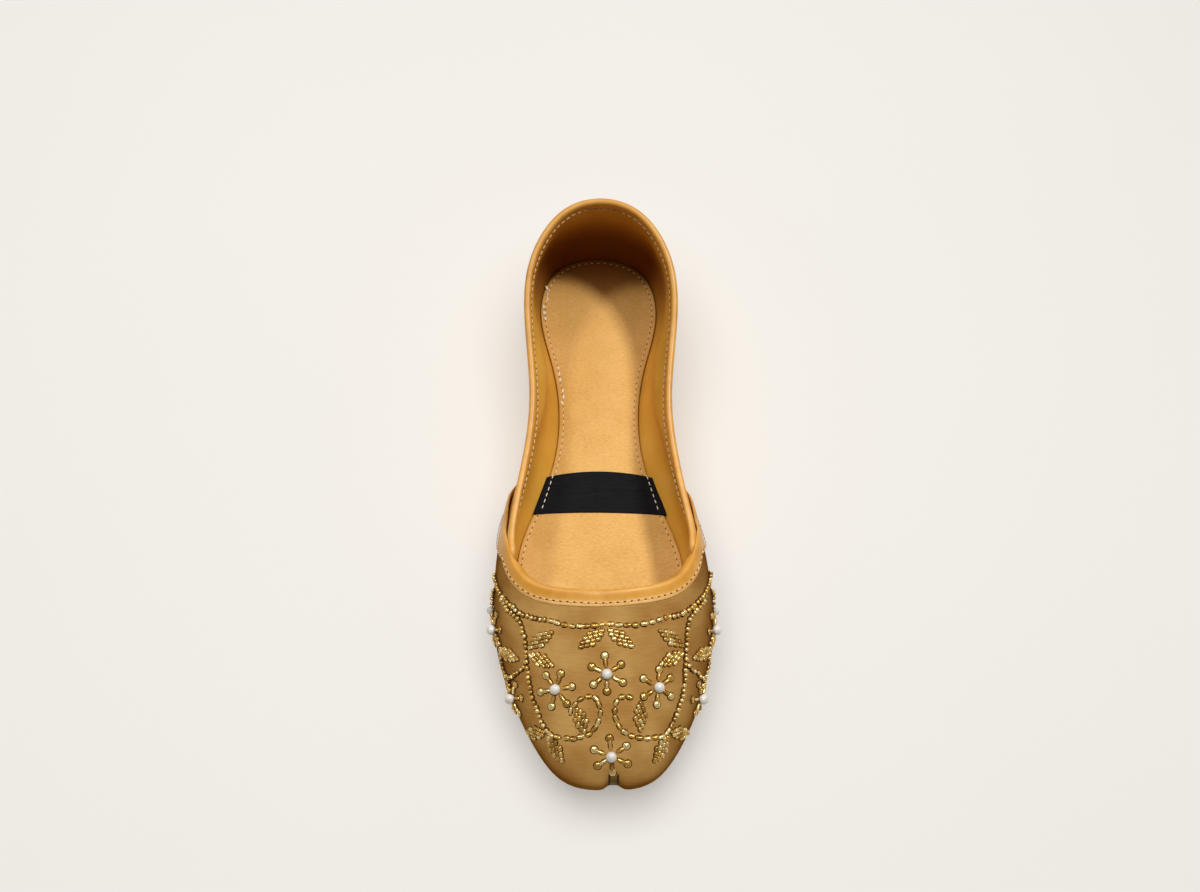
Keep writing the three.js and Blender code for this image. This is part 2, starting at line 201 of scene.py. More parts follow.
@dataclass(frozen=True)
class RawSilk(Finish):
    """Handloom raw silk: uneven slubs along the weft make fine broken lines across the vamp, with a low sheen.

    Lengths are in millimetres. drape is the slope of the vamp in degrees, which the threads follow. wall is the tone
    of the painted shade on the steep walls, and wall_slopes are the normal's rise where it is full and where it ends.
    """

    dark: str = "a0733b"
    light: str = "c39d5d"
    patch_dark: str = "a26f34"
    patch_light: str = "cfa562"
    wall: str = "b89f70"
    wall_slopes: Pair = (0.3, 0.92)
    slub_length: float = 5.0
    slub_width: float = 0.4
    weft_pitch: float = 0.8
    patch: float = 15.0
    drape: float = -38.0
    warp_share: float = 0.4
    slub_share: float = 0.6

    def _weft(self, tree: Tree) -> Socket:
        """Give the slub pattern, long across the shoe and narrow along it.

        Args:
            tree: the material's node tree.

        Returns:
            The pattern's socket.
        """
        place = millimetres(tree, (self.slub_length, self.slub_width, self.slub_length), (self.drape, 0, 0))
        slubs = {"Vector": place, "Scale": 1.0, "Detail": 3.5, "Roughness": 0.65}
        return add_node(tree, "TexNoise", slubs).outputs["Fac"]

    def colour(self, tree: Tree) -> Socket:
        """Mix the weft's slubs and the dye's broad unevenness, and darken the cloth on its steep walls with painted
        shade.

        Args:
            tree: the material's node tree.

        Returns:
            The colour socket.
        """
        slubs = add_node(tree, "ValToRGB", {"Fac": self._weft(tree)},
                         stops=[(0.25, self.dark), (0.5, self.base), (0.77, self.light)])
        broad = add_node(tree, "TexNoise", {"Vector": millimetres(tree), "Scale": 1 / self.patch, "Detail": 2.0})
        patches = add_node(tree, "ValToRGB", {"Fac": broad.outputs["Fac"]},
                           stops=[(0.34, self.patch_dark), (0.66, self.patch_light)])
        inputs = {"Fac": 0.5, "Color1": slubs.outputs[0], "Color2": patches.outputs[0]}
        cloth = add_node(tree, "MixRGB", inputs).outputs[0]
        # painted shade: the cloth darkens as its normal turns from straight up
        upright = add_node(tree, "SeparateXYZ", {"Vector": add_node(tree, "NewGeometry").outputs["Normal"]})
        steepest, flattest = self.wall_slopes
        steep = add_node(tree, "ValToRGB", {"Fac": upright.outputs["Z"]},
                         stops=[(steepest, self.wall), (flattest, "ffffff")])
        inputs = {"Fac": 1.0, "Color1": cloth, "Color2": steep.outputs[0]}
        return add_node(tree, "MixRGB", inputs, blend_type="MULTIPLY").outputs[0]

    def height(self, tree: Tree) -> Socket:
        """Raise the weft threads and the slubs; the weave is drawn coarser than its real 0.3 mm.

        Args:
            tree: the material's node tree.

        Returns:
            The height socket.
        """
        place = millimetres(tree, (self.weft_pitch,) * 3, (self.drape, 0, 0))
        weave = {"Vector": place, "Scale": WAVE_UNIT, "Distortion": 0.3, "Detail Scale": 1.5}
        weft = add_node(tree, "TexWave", weave, bands_direction="Y")
        warp = add_node(tree, "TexWave", weave, bands_direction="X")
        woven = add_node(tree, "Math", {0: warp.outputs["Fac"], 1: self.warp_share, 2: weft.outputs["Fac"]},
                         operation="MULTIPLY_ADD")
        return add_node(tree, "Math", {0: woven.outputs[0], 1: self.slub_share, 2: self._weft(tree)},
                        operation="MULTIPLY_ADD").outputs[0]


@dataclass(frozen=True)
class TannedLeather(Finish):
    """Vegetable tanned goat leather: fine pebbled grain, cloudy dye, paler on its folds and worn places as wear and
    painted highlight, and darker deep in the heel as painted shade.

    grain, cloud, crease and streak are sizes in millimetres. worn is the strength of the pale colour, which streaks
    break up; on the binding it is part wear and part painted highlight. soiled is the colour of the painted shade
    deep in the heel, and heel_shade_along and heel_shade_down are where it starts and where it is full, along y and
    down z.
    """

    dark: str = "b47c28"
    light: str = "dda650"
    wear_and_highlight_colour: str = "ffd08a"
    grain: float = 0.7
    cloud: float = 14.0
    crease: float = 2.5
    streak: float = 2.5
    streak_gain: float = 0.9
    streak_least: float = 0.45
    worn: float = 0.0
    heel_shade: str = ""
    heel_shade_along: Pair = (-25.0, 20.0)
    heel_shade_down: Pair = (58.0, 22.0)

    def colour(self, tree: Tree) -> Socket:
        """Cloud the dye, then darken it deep in the heel as painted shade where that is set, or else lighten it where
        the piece's worn attribute says, as wear and painted highlight.

        Args:
            tree: the material's node tree.

        Returns:
            The colour socket.
        """
        cloudy = add_node(tree, "TexNoise", {"Vector": millimetres(tree), "Scale": 1 / self.cloud, "Detail": 4.0})
        dyed = add_node(tree, "ValToRGB", {"Fac": cloudy.outputs["Fac"]},
                        stops=[(0.28, self.dark), (0.5, self.base), (0.75, self.light)]).outputs[0]
        # painted shade deep in the heel
        if self.heel_shade:
            return self._paint_heel_shade(tree, dyed, self.heel_shade_along, self.heel_shade_down, self.heel_shade)
        if not self.worn:
            return dyed
        # the worn attribute: wear, and painted highlight on the binding's crest and flange
        wear_and_highlight = add_node(tree, "Attribute", attribute_name="worn").outputs["Fac"]
        place = millimetres(tree, (self.streak,) * 3)
        streak = add_node(tree, "TexNoise", {"Vector": place, "Scale": 1.0, "Detail": 3.0})
        inputs = {0: streak.outputs["Fac"], 1: self.streak_gain, 2: self.streak_least}
        patchy = add_node(tree, "Math", inputs, operation="MULTIPLY_ADD")
        share = add_node(tree, "Math", {0: wear_and_highlight, 1: patchy.outputs[0]}, operation="MULTIPLY", use_clamp=True)
        amount = add_node(tree, "Math", {0: share.outputs[0], 1: self.worn}, operation="MULTIPLY")
        inputs = {"Fac": amount.outputs[0], "Color1": dyed, "Color2": srgb(self.wear_and_highlight_colour)}
        return add_node(tree, "MixRGB", inputs).outputs[0]

    def height(self, tree: Tree) -> Socket:
        """Pebble the grain, drawn coarser than its real 0.3 mm, over soft creases.

        Args:
            tree: the material's node tree.

        Returns:
            The height socket.
        """
        cells = add_node(tree, "TexVoronoi", {"Vector": millimetres(tree), "Scale": 1 / self.grain})
        creases = add_node(tree, "TexNoise", {"Vector": millimetres(tree), "Scale": 1 / self.crease, "Detail": 3.0})
        inputs = {0: cells.outputs["Distance"], 1: creases.outputs["Fac"]}
        return add_node(tree, "Math", inputs, operation="ADD").outputs[0]


@dataclass(frozen=True)
class SockCloth(Finish):
    """Soft cotton cloth: matt, finely woven face with fine flecks, broad wear and a faint nap.

    thread and wear are sizes in millimetres; the threads are drawn coarser than their real 0.3 mm. A fleck and a
    raised thread are some number of times as long as wide. soiled and the two fields after it paint shade deep in the
    heel, as for the leather.
    """

    dark: str = "c3934c"
    light: str = "ebc17e"
    worn_dark: str = "cf9d55"
    worn_light: str = "e8b972"
    thread: float = 0.55
    fleck_length: float = 3.0
    nap_length: float = 1.5
    wear: float = 24.0
    heel_shade: str = ""
    heel_shade_along: Pair = (2.0, 24.0)
    heel_shade_down: Pair = (60.0, 30.0)

    def _threads(self, tree: Tree, length: float) -> Socket:
        """Give the fleck of the threads, which lie across the shoe.

        Args:
            tree: the material's node tree.
            length: how many times as long as wide a thread's fleck is.

        Returns:
            The pattern's socket.
        """
        place = millimetres(tree, (self.thread * length, self.thread, self.thread))
        flecks = {"Vector": place, "Scale": 1.0, "Detail": 3.0, "Roughness": 0.7}
        return add_node(tree, "TexNoise", flecks).outputs["Fac"]

    def colour(self, tree: Tree) -> Socket:
        """Fleck the threads over broad wear, and darken them deep in the heel as painted shade where that is set.

        Args:
            tree: the material's node tree.

        Returns:
            The colour socket.
        """
        threads = add_node(tree, "ValToRGB", {"Fac": self._threads(tree, self.fleck_length)},
                           stops=[(0.30, self.dark), (0.5, self.base), (0.72, self.light)])
        broad = add_node(tree, "TexNoise", {"Vector": millimetres(tree), "Scale": 1 / self.wear, "Detail": 2.0})
        worn = add_node(tree, "ValToRGB", {"Fac": broad.outputs["Fac"]},
                        stops=[(0.35, self.worn_dark), (0.65, self.worn_light)])
        inputs = {"Fac": 0.5, "Color1": threads.outputs[0], "Color2": worn.outputs[0]}
        unshaded = add_node(tree, "MixRGB", inputs).outputs[0]
        # painted shade deep in the heel
        if not self.heel_shade:
            return unshaded
        return self._paint_heel_shade(tree, unshaded, self.heel_shade_along, self.heel_shade_down, self.heel_shade)

    def height(self, tree: Tree) -> Socket:
        """Raise the threads."""
        return self._threads(tree, self.nap_length)


@dataclass(frozen=True)
class WovenBand(Finish):
    """Black satin label tape: tight ribs across its width, nearly matt. Lengths are in millimetres."""

    dark: str = "090a0c"
    light: str = "17181b"
    rib: float = 0.6
    thread_length: float = 4.0

    def colour(self, tree: Tree) -> Socket:
        """Vary the black a little from thread to thread.

        Args:
            tree: the material's node tree.

        Returns:
            The colour socket.
        """
        place = millimetres(tree, (self.thread_length, self.rib, self.rib))
        threads = add_node(tree, "TexNoise", {"Vector": place, "Scale": 1.0, "Detail": 3.0})
        return add_node(tree, "ValToRGB", {"Fac": threads.outputs["Fac"]},
                        stops=[(0.3, self.dark), (0.75, self.light)]).outputs[0]

    def height(self, tree: Tree) -> Socket:
        """Rib the tape."""
        ribs = {"Vector": millimetres(tree, (self.rib,) * 3), "Scale": WAVE_UNIT}
        return add_node(tree, "TexWave", ribs, bands_direction="Y").outputs["Fac"]


@dataclass(frozen=True)
class GiltBead(Finish):
    """Antique gold plated glass beads: bright round highlights over warm brown gold, each bead a little different."""

    dark: str = "b08640"
    light: str = "ffe6a2"

    def colour(self, tree: Tree) -> Socket:
        """Take each bead's own shade from its tint attribute.

        Args:
            tree: the material's node tree.

        Returns:
            The colour socket.
        """
        tint = add_node(tree, "Attribute", attribute_name="tint").outputs["Fac"]
        return add_node(tree, "ValToRGB", {"Fac": tint},
                        stops=[(0.0, self.dark), (0.45, self.base), (1.0, self.light)]).outputs[0]


@dataclass(frozen=True)
class SoleLeather(Finish):
    """Hard veg-tan sole leather: burnished brown with fine fibres and scuffs.

    fibre and scuff are a pattern's sizes in millimetres along x, y and z.
    """

    dark: str = "4a2d18"
    light: str = "8a5c35"
    fibre: Triple = (1.2, 9.0, 0.5)
    scuff: Triple = (0.6, 2.5, 0.5)

    def colour(self, tree: Tree) -> Socket:
        """Layer the fibres along the sole.

        Args:
            tree: the material's node tree.

        Returns:
            The colour socket.
        """
        place = millimetres(tree, self.fibre)
        fibres = add_node(tree, "TexNoise", {"Vector": place, "Scale": 1.0, "Detail": 4.0})
        return add_node(tree, "ValToRGB", {"Fac": fibres.outputs["Fac"]},
                        stops=[(0.3, self.dark), (0.5, self.base), (0.75, self.light)]).outputs[0]

    def height(self, tree: Tree) -> Socket:
        """Roughen the fibres."""
        place = millimetres(tree, self.scuff)
        return add_node(tree, "TexNoise", {"Vector": place, "Scale": 1.0, "Detail": 4.0}).outputs["Fac"]


@dataclass(frozen=True)
class Plain(Finish):
    """A finish of one colour that drifts to another, for thread, pearls and the floor. fleck is in millimetres."""

    other: str = "ffffff"
    fleck: float = 0.6

    def colour(self, tree: Tree) -> Socket:
        """Vary the colour a little.

        Args:
            tree: the material's node tree.

        Returns:
            The colour socket.
        """
        fleck = add_node(tree, "TexNoise", {"Vector": millimetres(tree), "Scale": 1 / self.fleck, "Detail": 2.0})
        stops = [(0.3, self.base), (0.7, self.other)]
        return add_node(tree, "ValToRGB", {"Fac": fleck.outputs["Fac"]}, stops=stops).outputs[0]


# golden brown slubbed silk: it gives the vamp its soft, uneven warm ground, with painted shade on its steep walls
SILK = RawSilk("raw silk, golden brown", "vamp_cloth", "b2874a", roughness=0.8, specular=0.0, bump=0.18,
               bump_depth=0.08)
# plain cotton inside the vamp: a matt pale brown seen only down in the toe
VAMP_DRILL = SockCloth("cotton drill lining", "vamp_cloth", "c99450", roughness=0.85, specular=0.2, bump=0.3)
# smooth ochre leather outside the quarters: a low gloss that follows the waist
QUARTER_LEATHER = TannedLeather("tan goat leather, outside", "quarter_leather", "cc933a", dark="be8530",
                                light="d9a24a", roughness=0.5, specular=0.3, bump=0.12)
# smooth golden kid inside the quarters: the lit walls beside the sock, with painted shade deep in the heel
LINING_LEATHER = TannedLeather("golden kid lining", "quarter_leather", "e4ab42", dark="d6a039", light="eeba54",
                               roughness=0.55, specular=0.25, bump=0.06, cloud=24.0, heel_shade="8a6848")
# orange tan strip: the bright line round both openings, paler on its stitched flange and its crest as wear and
# painted highlight
BINDING_LEATHER = TannedLeather("orange tan binding leather", "binding_leather", "da993b", dark="ca882c",
                                light="e4aa4b", roughness=0.42, specular=0.35, coat=0.12, coat_roughness=0.3,
                                bump=0.1, grain=0.6, cloud=10.0, worn=0.85)
# dull brown strip down in the cleft: a dark line that parts the toe
TAB_LEATHER = TannedLeather("brown cleft leather", "binding_leather", "80602a", dark="5f4518", light="9a7636",
                            roughness=0.7, specular=0.1, bump=0.1, cloud=5.0)
# tan woven sock: the broad matt floor of the shoe, with painted shade deep in the heel
SOCK = SockCloth("tan sock cloth", "insole_suede", "dcab5c", roughness=0.85, specular=0.2, bump=0.3, heel_shade="ab9460")
# bare black tape: a flat dark bar across the sock
LABEL = WovenBand("black label tape", "label_cloth", "0d0e10", roughness=0.8, specular=0.15, bump=0.3)
# waxed thread: pale dashes round the openings and the sole
THREAD = Plain("waxed cream thread", "thread", "e8c88c", roughness=0.6, other="f6e0b0")
# thread near the binding's own colour: dashes that show mostly by their dark holes
TAN_THREAD = Plain("tan binding thread", "thread", "deb071", roughness=0.6, other="edc993")
# white thread: the two short rows that hold the label's ends
WHITE_THREAD = Plain("white label thread", "thread", "e9e4da", roughness=0.6, other="ffffff")
# undyed thread ends: the pale knots left along the sock's outer edge
KNOT_THREAD = Plain("undyed thread ends", "thread", "ead9c0", roughness=0.6, other="fbf3e4")
# couching thread, brown and dark as painted shade: the dark outline round every bead, and the shade beside the toe
# strip
THREAD_AND_SHADE = Plain("brown couching thread and painted shade", "thread", "3a240a", roughness=0.8, other="553814", specular=0.1)
# shadowed needle hole: the dark dot between two stitches
NEEDLE_HOLE = Plain("shadowed needle hole", "thread", "4a2c0c", roughness=0.9, other="5e3b12", specular=0.1)
# antique gold beads: round sparkle over warm brown gold
GILT = GiltBead("antique gold beads", "gilt_beads", "e0b258", roughness=0.22, metallic=0.55)
# white pearls: soft bright dots with one clear highlight
PEARL = Plain("white faux pearl", "pearl", "ddd5ca", roughness=0.22, other="ebe6de", coat=0.6, coat_roughness=0.08,
              fleck=3.0)
# burnished sole leather: the brown rim and tread under the shoe
SOLE = SoleLeather("burnished sole leather", "sole_leather", "6b4526", roughness=0.5, bump=0.3)
# pale studio floor: a plain ground just off white
FLOOR = Plain("pale studio floor", "", "f3f0ea", roughness=0.9, other="f4f1eb", specular=0.1, fleck=200.0)


# ---------------------------------------------------------------- the last

def blend_four(t: np.ndarray, four: Sequence[np.ndarray]) -> np.ndarray:
    """Give points at t, 0 to 1, on the span of a uniform cubic B-spline that has these four controls."""
    weights = ((1 - t) ** 3, 3 * t ** 3 - 6 * t ** 2 + 4, -3 * t ** 3 + 3 * t ** 2 + 3 * t + 1, t ** 3)
    return sum(w * c for w, c in zip(weights, four)) / 6


@dataclass(frozen=True)
class Section:
    """One section of the last's half outline.

    along, half, top_along, top_half and top_rise are percentages of the driving sizes in ShoeLast. bulge, belly,
    lift and reach are millimetres, and slope is the wall's slope at its top in degrees.
    """

    along: float
    half: float
    bulge: float
    belly: float
    top_along: float
    top_half: float
    top_rise: float
    lift: float
    reach: float
    slope: float


@dataclass
class ShoeLast:
    """The form that every piece follows: the seam surface between quarter and vamp, and the sole under it.

    u runs round the shoe, 0 at the heel back, growing along the inner side, 0.5 at the toe. v runs from the
    feather line, 0, to the collar or throat, 1. Lengths are in millimetres, and s is the distance from the heel
    back. A span gives where a change starts and where it is complete: in s for the sole, in shares of the length
    for the skew, and in the way from heel to toe for the rest.
    """

    feather_length: float = 241.5
    half_ball: float = 37.7
    collar_height: float = 58.0
    heel_to_origin: float = 28.0
    toe_swing: float = 3.0
    throat_skew: float = 0.04
    heel_sole: float = 9.0
    fore_sole: float = 5.0
    toe_spring: float = 6.0
    spring_from: float = 175.0
    spring_most: float = 1.1
    arch: float = 2.4
    arch_span: Pair = (62.0, 138.0)
    belly_at: float = 0.42
    level_up_to: float = 0.16
    cleft_depth: float = 3.0
    cleft_half: float = 2.9
    cleft_shift: float = 0.006
    cleft_fade: Pair = (0.42, 0.6)
    cleft_at_foot: float = 0.8
    crossing: float = 0.294
    wing_end: float = 0.2
    wing_tip: float = 0.05
    wing_ease: float = 0.12
    quarter_end: float = 0.316
    quarter_dip: float = 0.22
    dip_margin: Pair = (0.006, 0.01)
    skew_span: Pair = (0.5, 0.65)
    foot_handle: Pair = (0.9, 0.35)
    sole_step: Pair = (60.0, 140.0)
    spine_span: Pair = (22.0, 214.0)
    cloth_off: Pair = (1.15, 0.35)
    cloth_span: Pair = (0.28, 0.33)
    edge_steps: int = 5
    sections: tuple[Section, ...] = (
        Section(0, 0, 2.5, 16, 0.5, 0, 100, 14, 12, 86),
        Section(3.3, 55, 2.5, 16, 3.7, 49, 98.5, 14, 12, 86),
        Section(13.2, 73, 3, 16, 13.2, 81, 90, 12, 12, 84),
        Section(24.8, 57, 4, 17, 24.8, 82.5, 78, 10, 10, 82),
        Section(36.4, 50.5, 6, 17, 36.4, 77, 69.5, 8, 10, 76),
        Section(47.2, 65, 8, 17, 47.2, 83.5, 65.5, 8, 10, 76),
        Section(58, 92, 5, 16, 57, 95, 65.5, 8, 10, 96),
        Section(68.7, 100, 5, 15, 63.8, 97.5, 68, 9, 10, 118),
        Section(78.7, 99.5, 4, 13, 69, 83, 73.5, 9, 12, 138),
        Section(88.6, 81, 3.5, 12, 71.7, 60, 78, 9, 14, 150),
        Section(96, 57.5, 3, 11, 73, 36, 81.5, 9, 16, 156),
        Section(99.4, 33, 3, 11, 73.5, 17, 83.2, 9, 18, 158),
        Section(100, 0, 3, 11, 73.6, 0, 83.6, 9, 18, 158),
    )
    _controls: np.ndarray = field(init=False, repr=False)

    def __post_init__(self) -> None:
        """Solve the closed spline that passes through every section."""
        half = [[s.along / 100 * self.feather_length, s.half / 100 * self.half_ball, s.bulge, s.belly,
                 s.top_along / 100 * self.feather_length, s.top_half / 100 * self.half_ball,
                 s.top_rise / 100 * self.collar_height, s.lift, s.reach, math.radians(s.slope)]
                for s in self.sections]
        flip = np.array([1, -1, 1, 1, 1, -1, 1, 1, 1, 1])
        rows = np.array(half + [list(np.array(r) * flip) for r in half[-2:0:-1]])
        count = len(rows)
        system = sum(np.roll(np.eye(count), k, axis=0) * w for k, w in ((0, 4 / 6), (1, 1 / 6), (-1, 1 / 6)))
        self._controls = np.linalg.solve(system, rows)

    def section(self, u: np.ndarray) -> tuple[np.ndarray, np.ndarray]:
        """Give the section round the shoe.

        Args:
            u: places round the shoe.

        Returns:
            The section's values at u, and their slope in u.
        """
        count = len(self._controls)
        at = (u % 1.0) * count
        i = np.floor(at).astype(int)
        t = (at - i)[:, None]
        four = [self._controls[(i + k - 1) % count] for k in range(4)]
        slope = (-3 * (1 - t) ** 2, 9 * t ** 2 - 12 * t, -9 * t ** 2 + 6 * t + 3, 3 * t ** 2)
        return blend_four(t, four), sum(w * c for w, c in zip(slope, four)) / 6

    @staticmethod
    def ease(x: np.ndarray, low: float, high: float) -> np.ndarray:
        """Step smoothly from 0 at low to 1 at high."""
        t = np.clip((x - low) / (high - low), 0, 1)
        return t * t * (3 - 2 * t)

    def swing(self, s: np.ndarray) -> np.ndarray:
        """Give the sideways turn of the centreline at a distance s from the heel back."""
        return self.toe_swing * self.ease(s, self.feather_length / 2, self.feather_length)

    def _spring(self, s: np.ndarray) -> np.ndarray:
        """Give the toe spring's rise at s."""
        way = (s - self.spring_from) / (self.feather_length - self.spring_from)
        return self.toe_spring * np.clip(way, 0, self.spring_most) ** 2

    def feather_height(self, s: np.ndarray) -> np.ndarray:
        """Give the height of the feather line at s."""
        return self.heel_sole + (self.fore_sole - self.heel_sole) * self.ease(s, *self.sole_step) + self._spring(s)

    def tread_height(self, s: np.ndarray) -> np.ndarray:
        """Give the height of the outsole's underside at s."""
        t = np.clip((s - self.arch_span[0]) / (self.arch_span[1] - self.arch_span[0]), 0, 1)
        return self.arch * np.sin(np.pi * t) ** 2 + self._spring(s)

    def feather(self, u: np.ndarray) -> tuple[np.ndarray, np.ndarray, np.ndarray]:
        """Give the feather line, where the wall meets the sole.

        Args:
            u: places round the shoe.

        Returns:
            The section's values, the outward direction in plan, and the points of the line.
        """
        row, turn = self.section(u)
        out = np.stack([turn[:, 0], turn[:, 1], np.zeros(len(u))], axis=1)
        out /= np.linalg.norm(out, axis=1, keepdims=True)
        s = row[:, 0]
        foot = np.stack([row[:, 1] + self.swing(s), self.heel_to_origin - s, self.feather_height(s)], axis=1)
        return row, out, foot

    def seam(self, u: np.ndarray, v: np.ndarray) -> np.ndarray:
        """Give points of the seam surface: a low curve up to the belly and a high curve on to the top.

        Args:
            u: places round the shoe.
            v: places up the wall.

        Returns:
            The points.
        """
        row, out, foot = self.feather(u)
        _, _, bulge, belly, top_s, top_w, top_z, lift, reach, slope = (row[:, k, None] for k in range(10))
        up = np.array([[0.0, 0.0, 1.0]])
        wide = foot + out * bulge + up * belly
        handle = foot + out * self.foot_handle[0] * bulge + up * self.foot_handle[1] * belly
        a = np.clip(v / self.belly_at, 0, 1)[:, None]
        low = (1 - a) ** 2 * foot + 2 * a * (1 - a) * handle + a * a * wide
        start, full = (share * self.feather_length for share in self.skew_span)
        skew = self.throat_skew * top_w * self.ease(top_s, start, full)
        top = np.concatenate([top_w + self.swing(top_s), self.heel_to_origin - top_s + skew, top_z], axis=1)
        arrive = out * np.cos(slope) + up * np.sin(slope)
        b = np.clip((v - self.belly_at) / (1 - self.belly_at), 0, 1)[:, None]
        high = ((1 - b) ** 3 * wide + 3 * b * (1 - b) ** 2 * (wide + up * lift)
                + 3 * b * b * (1 - b) * (top - arrive * reach) + b ** 3 * top)
        return np.where(v[:, None] <= self.belly_at, low, high)

    def slopes(self, u: np.ndarray, v: np.ndarray) -> tuple[np.ndarray, np.ndarray]:
        """Give the seam surface's slopes.

        Args:
            u: places round the shoe.
            v: places up the wall.

        Returns:
            The slope in u, and the slope in v.
        """
        step = 1e-4
        low, high = np.maximum(v - step, 0), np.minimum(v + step, 1)
        du = (self.seam(u + step, v) - self.seam(u - step, v)) / (2 * step)
        dv = (self.seam(u, high) - self.seam(u, low)) / (high - low)[:, None]
        return du, dv

    def outward(self, u: np.ndarray, v: np.ndarray) -> np.ndarray:
        """Give the outward normal, laid level at the feather line.

        Args:
            u: places round the shoe.
            v: places up the wall.

        Returns:
            The normals, of length one.
        """
        du, dv = self.slopes(u, v)
        normal = np.cross(dv, du)
        normal /= np.linalg.norm(normal, axis=1, keepdims=True)
        normal[:, 2] *= self.ease(v, 0, self.level_up_to)
        return normal / np.linalg.norm(normal, axis=1, keepdims=True)

    def cleft(self, u: np.ndarray, v: np.ndarray) -> np.ndarray:
        """Give the depth of the cleft that parts the toe into two lobes.

        Args:
            u: places round the shoe.
            v: places up the wall.

        Returns:
            The depth in millimetres.
        """
        row, out, foot = self.feather(u)
        centre = self.feather(np.array([0.5 - self.cleft_shift]))[2][0, 0]
        across = (foot[:, 0] - centre) / self.cleft_half
        fade = self.cleft_at_foot + (1 - self.cleft_at_foot) * self.ease(v, 0, 0.5 * self.belly_at)
        fade *= 1 - self.ease(v, *self.cleft_fade)
        return np.where(out[:, 1] > 0, 0, self.cleft_depth * np.exp(-across ** 2) * fade)

    def on_upper(self, u: np.ndarray, v: np.ndarray, off: np.ndarray | float) -> np.ndarray:
        """Give points of the upper, off outside the seam surface."""
        u, v, off = (np.atleast_1d(np.asarray(a, float)) for a in np.broadcast_arrays(u, v, off))
        return self.seam(u, v) + self.outward(u, v) * (off - self.cleft(u, v))[:, None]

    @staticmethod
    def side(u: np.ndarray) -> np.ndarray:
        """Give the way round from the heel, 0, to the toe, 0.5, on either side."""
        return 0.5 - np.abs(u % 1.0 - 0.5)

    def quarter_top(self, u: np.ndarray) -> np.ndarray:
        """Give how high the quarter reaches, as v."""
        start, full = self.crossing - self.dip_margin[0], self.quarter_end + self.dip_margin[1]
        return 1 - self.quarter_dip * self.ease(self.side(u), start, full)

    def vamp_top(self, u: np.ndarray) -> np.ndarray:
        """Give how high the vamp and its wings reach, as v.

        Args:
            u: places round the shoe.

        Returns:
            The height, from 1 at the throat down to wing_tip at the wings' ends.
        """
        back = np.clip((self.crossing - self.side(u)) / (self.crossing - self.wing_end), 0, 1)
        fall = (np.hypot(back, self.wing_ease) - self.wing_ease) / (math.hypot(1, self.wing_ease) - self.wing_ease)
        return 1 + (self.wing_tip - 1) * fall

    def cloth_face(self, u: np.ndarray) -> np.ndarray:
        """Give how far the vamp's face lies outside the seam surface: closer on the wings than over the toe."""
        return self.cloth_off[0] + self.cloth_off[1] * self.ease(self.side(u), *self.cloth_span)

    def near_edge(self, u: np.ndarray, top: Curve, off: np.ndarray,
                  beyond: np.ndarray) -> np.ndarray:
        """Give points near a free edge.

        Args:
            u: place along the edge.
            top: quarter_top or vamp_top.
            off: distance outside the seam surface.
            beyond: distance beyond the edge, or below it where negative.

        Returns:
            The points.
        """
        u, off, beyond = (np.atleast_1d(np.asarray(a, float)) for a in np.broadcast_arrays(u, off, beyond))
        step = 1e-4
        v = top(u)
        du, dv = self.slopes(u, v)
        climb = (top(u + step) - top(u - step)) / (2 * step)
        run = du + dv * climb[:, None]
        run /= np.linalg.norm(run, axis=1, keepdims=True)
        across = np.cross(run, self.outward(u, v))
        across /= np.linalg.norm(across, axis=1, keepdims=True)
        across *= np.sign((across * dv).sum(1))[:, None]
        inside = np.minimum(beyond, 0) / self.edge_steps
        for _ in range(self.edge_steps):
            aa, ab, bb = (du * du).sum(1), (du * dv).sum(1), (dv * dv).sum(1)
            pa, pb = (across * du).sum(1), (across * dv).sum(1)
            det = aa * bb - ab * ab
            step_u, step_v = (pa * bb - pb * ab) / det, (pb * aa - pa * ab) / det
            length = np.linalg.norm(du * step_u[:, None] + dv * step_v[:, None], axis=1)
            u = u + step_u * inside / length
            v = np.clip(v + step_v * inside / length, 0, 1)
            du, dv = self.slopes(u, v)
        return self.on_upper(u, v, off) + across * np.maximum(beyond, 0)[:, None]

    def footprint(self, u: np.ndarray, reach: np.ndarray, out: np.ndarray | float) -> np.ndarray:
        """Give plan points between the sole's spine and its outline.

        Args:
            u: places round the shoe.
            reach: the way out, from 0 on the spine to 1 on the outline.
            out: how far the outline is moved out.

        Returns:
            The points, at height 0.
        """
        row, away, foot = self.feather(u)
        s = np.clip(row[:, 0], *self.spine_span)
        spine = np.stack([self.swing(s), self.heel_to_origin - s, np.zeros(len(s))], axis=1)
        edge = foot + away * np.broadcast_to(out, u.shape)[:, None]
        points = spine + (edge - spine) * reach[:, None]
        points[:, 2] = 0
        return points


# ---------------------------------------------------------------- making meshes

